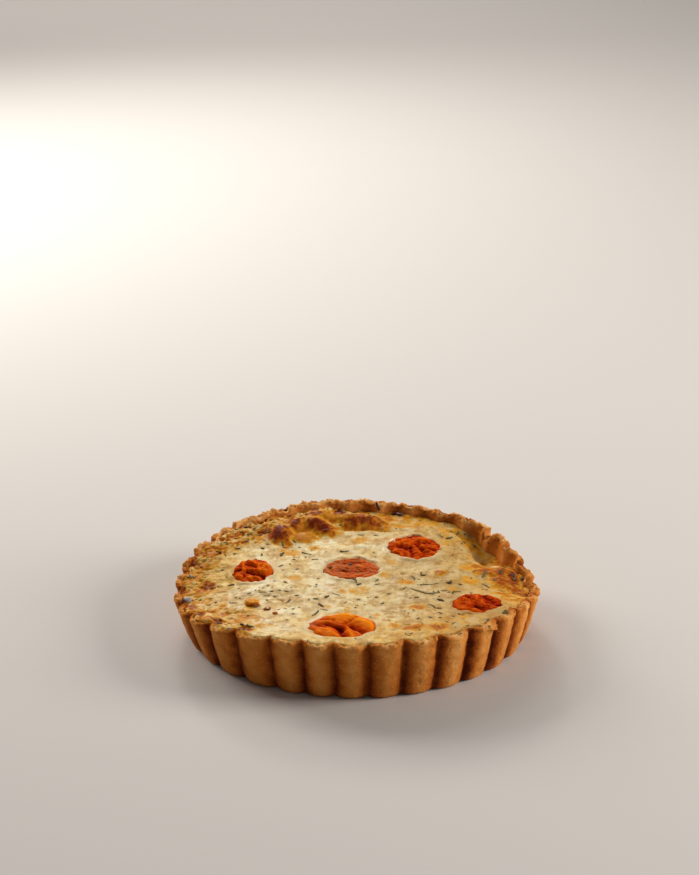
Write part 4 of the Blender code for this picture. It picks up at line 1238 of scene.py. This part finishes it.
# %% Scatter tree
def scatter_tree(name):
    """Spreads the shapes of a collection over a surface by a mask, and makes them real."""
    tree, given, result = new_shape_tree(name, {
        "Shapes": "Collection", "Mask": "String", "Amount": "Float", "Spacing": "Float", "Seed": "Int",
        "Smallest": "Float", "Largest": "Float", "Tilt": "Float", "Sink": "Float", "Material": "Material",
    })
    mask = wire(tree, "GeometryNodeInputNamedAttribute", {"Name": given.outputs["Mask"]}, data_type="FLOAT")
    spread = wire(tree, "GeometryNodeDistributePointsOnFaces", {
        "Mesh": given.outputs["Geometry"], "Distance Min": given.outputs["Spacing"],
        "Density Max": given.outputs["Amount"], "Density Factor": mask.outputs["Attribute"],
        "Seed": given.outputs["Seed"],
    }, distribute_method="POISSON")
    shapes = wire(tree, "GeometryNodeCollectionInfo", {
        "Collection": given.outputs["Shapes"], "Separate Children": True, "Reset Children": True,
    })
    tilt = given.outputs["Tilt"]
    back = times(tree, tilt, -1.0)
    lowest = wire(tree, "ShaderNodeCombineXYZ", {"X": back, "Y": back, "Z": -math.pi}).outputs[0]
    highest = wire(tree, "ShaderNodeCombineXYZ", {"X": tilt, "Y": tilt, "Z": math.pi}).outputs[0]
    turn = wire(tree, "FunctionNodeRandomValue", {0: lowest, 1: highest, "Seed": given.outputs["Seed"]},
                data_type="FLOAT_VECTOR")
    size = wire(tree, "FunctionNodeRandomValue", {
        2: given.outputs["Smallest"], 3: given.outputs["Largest"], "Seed": given.outputs["Seed"],
    }, data_type="FLOAT")
    shade = wire(tree, "FunctionNodeRandomValue", {2: 0.0, 3: 1.0, "Seed": 5}, data_type="FLOAT")
    copies = wire(tree, "GeometryNodeInstanceOnPoints", {
        "Points": spread.outputs["Points"], "Instance": shapes.outputs[0], "Pick Instance": True,
        "Rotation": spread.outputs["Rotation"], "Scale": size.outputs[1],
    })
    turned = wire(tree, "GeometryNodeRotateInstances", {
        "Instances": copies.outputs[0], "Rotation": turn.outputs[0],
    })
    sink = wire(tree, "ShaderNodeCombineXYZ", {"Z": times(tree, given.outputs["Sink"], -1.0)})
    sunk = wire(tree, "GeometryNodeTranslateInstances", {
        "Instances": turned.outputs[0], "Translation": sink.outputs[0],
    })
    marked = wire(tree, "GeometryNodeStoreNamedAttribute", {
        "Geometry": sunk.outputs[0], "Name": "shade", "Value": shade.outputs[1],
    }, data_type="FLOAT", domain="INSTANCE")
    return finished(tree, marked, given, result)


def scatter(name, surface, shapes, values):
    """Runs the scatter tree on a copy of a surface, and returns the scattered things as one piece."""
    holder = bpy.data.collections.new(name + "_shapes")
    bpy.context.scene.collection.children.link(holder)
    for shape in shapes:
        for home in shape.users_collection:
            home.objects.unlink(shape)
        holder.objects.link(shape)
    obj = bpy.data.objects.new(name, surface.data.copy())
    bpy.context.scene.collection.objects.link(obj)
    run_shape_tree(obj, scatter_tree(name + "_tree"), {"Shapes": holder, **values})
    obj.data.name = name
    for shape in shapes:
        bpy.data.objects.remove(shape)
    bpy.data.collections.remove(holder)
    return obj


# %% Rim crumbs
def lump_shape(name, size, seed):
    """A small, uneven and somewhat flat lump of dough with twenty faces."""
    draw = np.random.default_rng(seed)
    golden = (1 + math.sqrt(5)) / 2
    corners = np.array([
        (-1, golden, 0), (1, golden, 0), (-1, -golden, 0), (1, -golden, 0), (0, -1, golden), (0, 1, golden),
        (0, -1, -golden), (0, 1, -golden), (golden, 0, -1), (golden, 0, 1), (-golden, 0, -1), (-golden, 0, 1),
    ]) / math.hypot(1, golden)
    corners = corners * draw.uniform(0.75, 1.15, (12, 1)) * size / 2 * np.array([1, 0.85, 0.75])
    faces = [
        (0, 11, 5), (0, 5, 1), (0, 1, 7), (0, 7, 10), (0, 10, 11),
        (1, 5, 9), (5, 11, 4), (11, 10, 2), (10, 7, 6), (7, 1, 8),
        (3, 9, 4), (3, 4, 2), (3, 2, 6), (3, 6, 8), (3, 8, 9),
        (4, 9, 5), (2, 4, 11), (6, 2, 10), (8, 6, 7), (9, 8, 1),
    ]
    return mesh_object(name, corners, faces, {}, PASTRY)


lumps = [lump_shape(f"lump_{i}", size * MM, 40 + i) for i, size in enumerate((0.75, 1.0, 0.6, 1.25))]
crumbs = scatter("rim_crumbs", case, lumps, {
    "Mask": "rim", "Amount": 900000.0, "Spacing": 0.75 * MM, "Seed": 11, "Smallest": 0.5, "Largest": 1.05,
    "Tilt": 1.2, "Sink": 0.16 * MM, "Material": PASTRY,
})
store(crumbs.data, "browning_and_shade", 0.2 + 0.3 * np.random.default_rng(3).random(len(crumbs.data.vertices)))
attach(crumbs, "root")
report(crumbs)

# %% [markdown]
# Dried herbs
# Rubbed herbs fall in drifts, thick in some places and absent in others, and each flake is a curled scrap of
# leaf. The larger leaves and needles are laid one by one: each is a thin strip that follows the surface
# under it and lifts a little at its ends. The small flakes are scattered with the same tree as the crumbs.

# %% Herb material
def herb_material():
    material, tree, shader, place = new_material("dried_herb")
    shade = uneven(tree, grain(tree, place, 0.5 * MM), 0.5)
    shade = maths(tree, "ADD", mask_of(tree, "shade"), shade, clamp=True)
    colour = ramp(tree, shade, (
        (0.0, rgb(0.30, 0.25, 0.16)), (0.3, rgb(0.42, 0.37, 0.24)), (0.6, rgb(0.50, 0.39, 0.25)),
        (0.85, rgb(0.42, 0.36, 0.26)), (1.0, rgb(0.48, 0.41, 0.33)),
    ))
    plug(tree, shader, {"Base Color": colour, "Roughness": 0.72, "Specular IOR Level": 0.08})
    bumps(tree, shader, ((grain(tree, place, 0.3 * MM, 2), 0.06 * MM),))
    return material


HERB = herb_material()

# %% Herb leaves
# Leaves and needles: x, y, length, turn in degrees, and the kind: 0 is a dark scrap, 1 a needle, 2 a brown
# scrap and 3 a grey scrap
LEAVES = (
    # the middle
    (-13.3, -18.1, 1.6, 10, 0), (-9.5, -16.6, 2.1, 60, 0), (-6.8, -14.3, 3.2, -38, 1),
    (-11.3, -23.2, 3.5, -62, 3), (-10.5, -26.7, 2.6, -29, 1), (-13.1, -29.6, 5.3, 68, 1),
    (-1.4, -3.6, 4.1, -51, 1), (0.7, -6.1, 1.9, 48, 0), (6.7, -5.9, 1.9, 1, 2), (6.4, -2.6, 2.5, 63, 1),
    (18.3, -1.2, 3.2, -72, 1), (21.8, 1.1, 1.9, 6, 0), (6.3, -16.4, 0.8, 11, 0),
    (17.0, -17.8, 0.8, 25, 0), (19.1, -17.6, 1.4, 7, 0), (8.1, -21.5, 1.1, 37, 2),
    (0.4, -19.1, 1.0, -4, 3), (10.2, -13.6, 1.2, 20, 1), (19.0, -35.3, 1.3, 45, 0),
    (15.3, -40.2, 2.5, -24, 1), (15.5, -50.5, 2.9, -62, 1), (-2.4, 9.1, 3.0, -28, 3),
    (-5.7, 4.7, 1.7, -52, 2),
    # the right
    (21.0, -7.1, 1.1, 14, 0), (24.0, -6.2, 5.2, 10, 1), (20.2, -12.3, 7.0, -40, 1),
    (23.5, -14.7, 2.7, -16, 1), (24.8, -13.6, 3.7, 17, 1), (28.1, -11.2, 2.0, -16, 1),
    (30.2, -4.9, 2.2, 57, 0), (33.7, -6.1, 1.2, -24, 0), (42.2, -3.9, 3.6, -51, 1),
    (42.2, 4.6, 4.6, 69, 2), (39.0, 7.0, 2.2, 59, 2), (47.6, 8.5, 4.1, 79, 0), (52.3, 6.9, 4.0, 71, 2),
    (54.9, 6.9, 2.6, 60, 3), (44.9, 1.4, 2.4, -89, 2), (51.7, -7.6, 2.2, 47, 2),
    (55.1, -8.6, 1.9, -10, 2), (32.1, -12.9, 3.7, 39, 1), (26.7, -19.6, 2.4, -38, 0),
    (23.6, -24.6, 3.9, -56, 1), (26.0, -26.5, 1.4, -12, 0), (26.2, -31.2, 1.4, -41, 1),
    (32.6, -32.9, 2.4, -36, 3), (30.1, -34.4, 0.9, -28, 1), (22.9, -34.7, 1.4, -35, 0),
    (30.0, -41.5, 1.7, 42, 1), (46.2, -32.3, 3.0, 69, 0), (31.4, -49.7, 2.0, 50, 1),
    (38.2, -43.9, 1.3, 1, 1), (40.2, -40.2, 3.5, 72, 2), (29.5, -5.1, 1.2, 36, 0),
    # the right-hand back
    (32.2, 39.0, 1.9, 54, 2), (34.8, 39.0, 2.2, 63, 2), (37.4, 38.8, 0.8, -24, 2),
    (28.9, 34.8, 2.4, -39, 1), (31.7, 33.8, 2.7, 31, 0), (36.9, 34.7, 1.5, -50, 0),
    (40.2, 34.2, 2.6, -62, 2), (45.0, 31.7, 0.8, -49, 2),
    # the back
    (15.3, 52.5, 2.8, -59, 3), (13.5, 53.5, 1.2, -14, 0), (-3.7, 53.4, 1.4, -5, 0),
    (-1.3, 53.0, 1.8, -32, 0), (-5.6, 52.5, 1.5, -26, 0), (0.1, 54.0, 1.9, 19, 1),
    (-5.5, 42.0, 0.9, -1, 0), (5.4, 46.8, 2.2, -2, 2), (1.4, 35.9, 2.3, -5, 1), (6.7, 35.5, 1.7, 12, 1),
    (6.3, 16.7, 0.9, -45, 1), (-4.0, 21.4, 3.3, 2, 0), (-18.7, 42.4, 1.1, -40, 0),
    (-17.3, 47.3, 1.7, -70, 0),
    # the left-hand back
    (-41.0, 37.1, 1.7, -39, 0), (-37.9, 39.2, 1.8, 23, 0), (-36.5, 33.5, 1.9, 26, 0),
    (-34.9, 38.3, 1.3, 51, 0), (-32.3, 39.4, 1.2, 54, 0), (-29.8, 35.4, 1.9, -46, 0),
    (-26.9, 43.9, 0.9, 24, 0), (-37.3, 28.3, 2.7, 61, 0), (-44.7, 27.0, 1.4, 42, 2),
    (-40.2, 22.6, 2.1, 10, 3), (-31.9, 23.4, 1.6, -44, 0), (-30.1, 26.7, 1.3, -29, 1),
    (-40.9, 18.8, 1.3, -1, 3), (-46.4, 19.8, 2.6, -39, 0), (-44.2, 18.0, 1.5, -54, 1),
    (-25.0, 18.4, 2.9, 69, 0), (-24.4, 25.3, 2.4, -45, 0), (-16.8, 19.2, 3.7, -28, 1),
    (-14.0, 14.4, 2.1, -2, 1), (-4.6, 20.4, 2.0, 13, 0), (-21.1, 29.0, 1.1, -26, 2),
    (-25.5, 8.4, 1.0, 39, 1), (-39.4, 34.6, 1.5, 49, 0), (-33.6, 33.1, 1.5, 55, 1),
    # the left
    (-55.7, 4.2, 1.0, 8, 0), (-54.5, 3.8, 1.4, 40, 3), (-53.4, 3.6, 1.1, 28, 0),
    (-46.6, -1.7, 1.4, 34, 0), (-41.0, -4.2, 2.2, -18, 0), (-44.5, 7.9, 0.8, 1, 3),
    (-54.7, -4.4, 0.9, -33, 0), (-47.4, -11.9, 0.9, 26, 3), (-47.6, -17.4, 1.6, -24, 0),
    (-45.4, -15.9, 0.9, 67, 0), (-53.3, -12.1, 0.8, 38, 2), (-50.5, -12.2, 0.8, -8, 0),
    (-50.6, -25.6, 2.7, 75, 0), (-45.6, -31.5, 1.4, -37, 0), (-43.1, -32.0, 1.8, -62, 0),
    (-43.3, -35.6, 3.2, -50, 2), (-35.9, -39.3, 1.8, -62, 0), (-33.2, -40.5, 2.6, -32, 0),
    (-35.0, -42.0, 0.8, 44, 1), (-35.5, -42.9, 3.4, -55, 2), (-30.3, -10.4, 0.8, 16, 1),
    (-28.8, -8.1, 0.8, 19, 1), (-30.2, -13.5, 2.4, -9, 1), (-29.3, -15.6, 2.5, 19, 1),
    (-27.4, -13.0, 0.8, 17, 0), (-24.9, -12.4, 0.8, 38, 0), (-22.8, -12.6, 1.5, 1, 1),
    (-19.5, -15.6, 1.3, 2, 0), (-21.8, -19.2, 1.9, 63, 3), (-25.0, 8.9, 1.2, 48, 0),
    (-26.8, -3.9, 1.0, 41, 1), (-19.7, 6.0, 1.2, 37, 1), (-39.8, -17.7, 2.5, -28, 2),
    (-32.2, -23.0, 1.8, 11, 3), (-20.0, -30.2, 1.1, -43, 3), (-49.3, -3.0, 1.5, 52, 2),
    (-52.1, 12.5, 1.6, 54, 2),
)
# For each kind of leaf: share of the length that is its width, least and most width in mm, shade
LEAF_KINDS = (
    (0.70, 0.9, 1.5, 0.12), (0.28, 0.75, 1.05, 0.32), (0.45, 0.9, 1.6, 0.52), (0.50, 0.8, 1.3, 0.84),
)


# A height above everything, to look down from
ABOVE_ALL = 60 * MM


def surface_trees():
    """Search trees of the custard, the pastry and the tomatoes, to find what lies under a place."""
    graph = bpy.context.evaluated_depsgraph_get()
    return [BVHTree.FromObject(piece, graph) for piece in (custard, case, *halves)]


def surface_height(trees, x, y):
    """The height of the custard, the pastry or a tomato at a place, whichever is highest."""
    hits = [tree.ray_cast(Vector((x, y, ABOVE_ALL)), Vector((0, 0, -1)))[0] for tree in trees]
    return max(hit.z for hit in hits if hit)


def leaf_strip(trees, draw, x, y, length, turn, kind):
    """A thin bent strip on the surface: its points, faces and shade."""
    share, least, most, shade = LEAF_KINDS[kind]
    width = min(max(length * share, least), most) * draw.uniform(0.85, 1.2)
    thick = 0.18 * width
    steps = 3 if length < 1.6 else 6
    bow = draw.normal(0, 0.10) * length
    cosine, sine = math.cos(math.radians(turn)), math.sin(math.radians(turn))
    curl = draw.uniform(-0.05, 0.16, 2)
    points, faces = [], []
    for i in range(steps + 1):
        t = i / steps
        along, aside = (t - 0.5) * length, bow * math.sin(math.pi * t)
        half = width / 2 * (0.35 + 0.65 * math.sin(math.pi * t)) * draw.uniform(0.55, 1.3)
        lift = curl[0] * (1 - t) ** 3 + curl[1] * t**3
        for across, rise in ((-half, -0.05), (0.1 * half, thick), (half, 0.0), (0, -0.25)):
            px = x + along * cosine - (aside + across) * sine
            py = y + along * sine + (aside + across) * cosine
            ground = surface_height(trees, (x + along * cosine) * MM, (y + along * sine) * MM)
            points.append((px * MM, py * MM, ground + (rise + lift) * MM))
    for i in range(steps):
        for j in range(4):
            k = (j + 1) % 4
            faces.append((4 * i + j, 4 * i + 4 + j, 4 * i + 4 + k, 4 * i + k))
    last = 4 * steps
    faces += [(0, 1, 2, 3), (last + 3, last + 2, last + 1, last)]
    return points, faces, [shade + draw.normal(0, 0.10)] * len(points)


def laid_leaves():
    trees, draw = surface_trees(), np.random.default_rng(8)
    points, faces, shades = [], [], []
    for row in LEAVES:
        leaf_points, leaf_faces, leaf_shades = leaf_strip(trees, draw, *row)
        faces += [tuple(corner + len(points) for corner in face) for face in leaf_faces]
        points += leaf_points
        shades += leaf_shades
    return mesh_object("herb_leaves", np.array(points), faces, {"shade": shades}, HERB)


def stain_mask(points):
    """A soft stain on the custard round each leaf, as wet herbs give off colour."""
    x, y = points[:, 0], points[:, 1]
    stain = np.zeros_like(x)
    for leaf_x, leaf_y, length, turn, _ in LEAVES:
        near = nearby(x, y, leaf_x, leaf_y, length + 2)
        wet = patch(x[near], y[near], leaf_x, leaf_y, 0.5 * length + 0.7, 1.1, turn)
        stain[near] = np.maximum(stain[near], wet)
    return stain


leaves = laid_leaves()
custard_points = np.array([vertex.co for vertex in custard.data.vertices])
store(custard.data, "stain", stain_mask(custard_points))
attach(leaves, "root")
report(leaves)

# %% [markdown]
# Bits that the oven browned, with painted glints and shade
# A few larger bits lie on the custard: an amber chunk of cheese with a darker piece on its lower right as
# painted shade, a ring and dots of onion, a pale blob with a dark heart on the left rim, a dark scale of
# onion that stands against the wall at the back, and a few small white dots that are painted glints. Each
# is an uneven pebble made of rings, and all share one material with a ramp from white and grey over amber
# to purple brown.

# %% Browned bits
# x, y, length, width, height, turn, tilt, lift above the surface, tone
BITS = (
    # The second bit is the darker piece on the amber chunk: painted shade. The white dots at tones 0.05, 0.22
    # and 0.24 are painted glints.
    (-33.5, -20.2, 4.6, 4.0, 2.1, 14, 12, 0.20, 0.46), (-32.6, -21.9, 3.2, 1.6, 1.3, 8, 6, 0.15, 0.66),
    (-28.5, -26.1, 2.5, 2.4, 1.0, 0, 0, 0.10, 0.80), (-28.4, -26.3, 1.2, 1.2, 1.3, 0, 0, 0.15, 0.30),
    (-25.9, -30.0, 1.7, 1.7, 1.0, 0, 0, 0.10, 0.62), (-31.4, 29.5, 0.9, 0.9, 0.8, 0, 0, 0.10, 0.22),
    (-54.8, -12.0, 2.7, 3.8, 1.7, 0, 0, 0.15, 0.10), (-55.8, -12.6, 1.7, 3.0, 1.5, 0, 0, 0.40, 0.94),
    (15.3, 52.3, 3.0, 2.6, 1.3, -20, 0, 0.15, 0.94), (13.3, 53.4, 2.2, 1.4, 1.0, 0, 0, 0.10, 0.86),
    (7.5, 54.4, 3.6, 0.9, 1.0, 0, 66, 1.5, 0.95), (-55.1, 4.8, 0.8, 0.7, 0.8, 0, 0, 0.15, 0.05),
    (-54.0, 4.3, 0.7, 0.6, 0.7, 0, 0, 0.15, 0.05), (-2.2, 9.6, 1.7, 1.5, 0.7, 20, 0, 0.10, 0.92),
    (-8.6, 7.4, 1.5, 1.6, 0.7, 0, 0, 0.05, 0.80), (12.7, 28.0, 1.0, 0.9, 0.7, 0, 0, 0.10, 0.24),
    (-24.0, 24.6, 2.2, 1.6, 0.9, 20, 0, 0.05, 0.52), (45.9, 13.4, 3.6, 3.2, 1.6, 0, 0, 0.05, 0.36),
    (51.6, 8.4, 1.6, 1.8, 1.0, 0, 0, 0.10, 0.90),
)
BIT_RINGS = 8
BIT_COLUMNS = 14


def bit_material():
    material, tree, shader, place = new_material("browned_bits")
    tone = uneven(tree, grain(tree, place, 0.8 * MM, 3), 0.30)
    tone = maths(tree, "ADD", mask_of(tree, "tone"), tone, clamp=True)
    colour = ramp(tree, tone, (
        (0.0, rgb(0.80, 0.78, 0.76)), (0.10, rgb(0.56, 0.52, 0.51)), (0.22, rgb(0.89, 0.79, 0.64)),
        (0.45, rgb(0.86, 0.55, 0.10)), (0.64, rgb(0.66, 0.34, 0.06)), (0.82, rgb(0.43, 0.22, 0.13)),
        (1.0, rgb(0.32, 0.22, 0.22)),
    ))
    plug(tree, shader, {
        "Base Color": colour, "Roughness": 0.4, "Specular IOR Level": 0.12, "Subsurface Weight": 0.15,
        "Subsurface Radius": (1.0, 0.6, 0.3), "Subsurface Scale": 1.0 * MM,
    })
    bumps(tree, shader, ((grain(tree, place, 0.5 * MM, 3), 0.08 * MM),))
    return material


def browned_bits():
    trees, draw = surface_trees(), np.random.default_rng(14)
    columns = np.arange(BIT_COLUMNS) * math.tau / BIT_COLUMNS
    all_points, faces, tones = [], [], []
    for x, y, length, width, height, turn, tilt, lift, tone in BITS:
        polar = math.pi * (np.arange(1, BIT_RINGS) / BIT_RINGS)[:, None]
        ball = np.stack([np.sin(polar) * np.cos(columns), np.sin(polar) * np.sin(columns),
                         -np.cos(polar) + 0 * columns], axis=-1)
        ball = np.vstack([ball.reshape(-1, 3), [[0, 0, -1], [0, 0, 1]]])
        offset = draw.uniform(0, 50)
        swell = 1 + 0.28 * soft_noise(ball[:, 0] * 1.3 + offset, ball[:, 1] * 1.3 + ball[:, 2], 97)
        ball = np.sign(ball) * np.abs(ball) ** 0.82 * swell[:, None] * np.array([length, width, height]) / 2
        cosine, sine = math.cos(math.radians(tilt)), math.sin(math.radians(tilt))
        ball = ball @ np.array([[cosine, 0, -sine], [0, 1, 0], [sine, 0, cosine]])
        ground = surface_height(trees, x * MM, y * MM)
        start = sum(len(points) for points in all_points)
        faces += [[corner + start for corner in face] for face in ring_faces(BIT_RINGS - 1, BIT_COLUMNS)]
        all_points.append(stand(ball * MM, x, y, ground + lift * MM, turn, 0))
        tones += [tone] * len(ball)
    return mesh_object("browned_bits", np.vstack(all_points), faces, {"tone": tones}, bit_material())


bits = browned_bits()
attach(bits, "root")
report(bits)

# %% Herb flakes
# Drifts: x, y, spread, thickness of the drift from 0 to 1
HERB_DRIFTS = (
    (-36.0, 36.0, 9.0, 1.0), (-52.0, 5.0, 7.0, 0.8), (-46.0, -24.0, 8.0, 0.6), (-22.0, -16.0, 10.0, 0.9),
    (24.0, -12.0, 9.0, 1.0), (46.0, 3.0, 7.0, 0.9), (-38.0, -37.0, 7.0, 0.9), (-3.0, 50.0, 8.0, 0.8),
    (34.0, 36.0, 7.0, 0.8), (20.0, -38.0, 9.0, 0.8), (-22.0, 20.0, 12.0, 0.6), (6.0, -26.0, 9.0, 0.5),
    (51.0, -4.0, 6.0, 0.8), (12.0, 46.0, 9.0, 0.5), (-2.0, 20.0, 9.0, 0.5), (-30.0, -14.0, 9.0, 0.7),
)


def flake_shape(name, length, width, seed):
    """A curled scrap of leaf: a fan of faces on both sides of a thin, ragged, bent outline."""
    draw = np.random.default_rng(seed)
    corners = 7
    phi = np.arange(corners) * math.tau / corners + draw.uniform(-0.3, 0.3, corners)
    reach = draw.uniform(0.65, 1.0, corners)
    x, y = reach * np.cos(phi) * length / 2, reach * np.sin(phi) * width / 2
    curl = 0.35 * width * (2 * x / length) ** 2 + draw.uniform(-0.08, 0.08, corners) * width
    top = np.stack([x, y, curl + 0.12 * MM], axis=-1)
    low = np.stack([x, y, curl - 0.12 * MM], axis=-1)
    points = np.vstack([top, low, [[0, 0, 0.28 * MM]], [[0, 0, -0.16 * MM]]])
    faces = []
    for i in range(corners):
        j = (i + 1) % corners
        faces += [[i, j, 2 * corners], [corners + j, corners + i, 2 * corners + 1]]
        faces.append([j, i, corners + i, corners + j])
    return mesh_object(name, points, faces, {}, HERB)


def herb_mask(points):
    """How thick the herbs lie on each point of the custard's mesh: none on tomatoes or down the sides."""
    x, y, z = points.T
    drifts = sum(thick * np.exp(-((x / MM - cx) ** 2 + (y / MM - cy) ** 2) / spread**2)
                 for cx, cy, spread, thick in HERB_DRIFTS)
    patchy = smoothstep(-0.35, 0.35, soft_noise(x / MM / 3.0, y / MM / 3.0, 83))
    mask = np.clip(0.12 + drifts, 0, 1) * patchy
    for name in TOMATOES:
        mask *= smoothstep(1.05, 1.25, seat_of(name, x, y)[0])
    return mask * (z > plain_level(x, y) - 3.2 * MM)


store(custard.data, "herbs", herb_mask(custard_points))
flakes = [flake_shape(f"flake_{i}", length * MM, width * MM, 100 + i)
          for i, (length, width) in enumerate(((1.9, 1.0), (1.4, 1.1), (2.6, 0.8), (1.1, 0.9)))]
herbs = scatter("herb_flakes", custard, flakes, {
    "Mask": "herbs", "Amount": 150000.0, "Spacing": 0.9 * MM, "Seed": 4, "Smallest": 0.22, "Largest": 0.85,
    "Tilt": 0.35, "Sink": 0.08 * MM, "Material": HERB,
})
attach(herbs, "root")
report(herbs)

# %% [markdown]
# Floor and light
# The floor is plain and pale. A wide lamp stands at each side and a large one behind, as in the picture, so
# the flutes are lit along their flanks, a small one behind makes the wet custard sparkle, and a weak lamp
# fills the front. Two of them give no mirror image, as it would lie over the custard like a veil.
# The standard view transform keeps the colours as full as the materials give them.

# %% Stage
LIGHT_COLOUR = (1.0, 0.98, 0.95)


def plain_floor():
    material, tree, shader, _ = new_material("floor")
    plug(tree, shader, {"Base Color": (*rgb(0.80, 0.775, 0.75), 1), "Roughness": 0.8})
    mesh = bpy.data.meshes.new("floor")
    reach = 3.0
    corners = [(-reach, -reach, 0), (reach, -reach, 0), (reach, reach, 0), (-reach, reach, 0)]
    mesh.from_pydata(corners, [], [(0, 1, 2, 3)])
    mesh.materials.append(material)
    floor = bpy.data.objects.new("floor", mesh)
    bpy.context.scene.collection.objects.link(floor)


def lamp(name, place, size, power, shiny=True):
    """A wide soft lamp that faces the tartlet, and that glossy surfaces mirror or not."""
    data = bpy.data.lights.new(name, "AREA")
    data.shape = "SQUARE"
    data.size = size
    data.energy = power
    data.color = LIGHT_COLOUR
    obj = bpy.data.objects.new(name, data)
    obj.location = place
    obj.visible_glossy = shiny
    obj.rotation_euler = (Vector((0, 0, 0.01)) - Vector(place)).to_track_quat("-Z", "Y").to_euler()
    bpy.context.scene.collection.objects.link(obj)


def soft_sky():
    world = bpy.data.worlds.new("sky")
    world.use_nodes = True
    tree = world.node_tree
    plug(tree, tree.nodes["Background"], {"Color": (*LIGHT_COLOUR, 1), "Strength": 0.15})
    bpy.context.scene.world = world


plain_floor()
soft_sky()
lamp("side_left", (-0.62, 0.60, 0.40), 0.40, 7.3, shiny=False)
lamp("side_right", (0.84, -0.06, 0.36), 0.36, 7.4)
lamp("back", (-0.25, 1.5, 1.0), 1.0, 12.4, shiny=False)
lamp("spark", (-0.16, 0.95, 0.46), 0.14, 1.7)
lamp("front_fill", (0.1, -0.9, 0.7), 0.6, 0.06)
bpy.context.scene.view_settings.view_transform = "Standard"
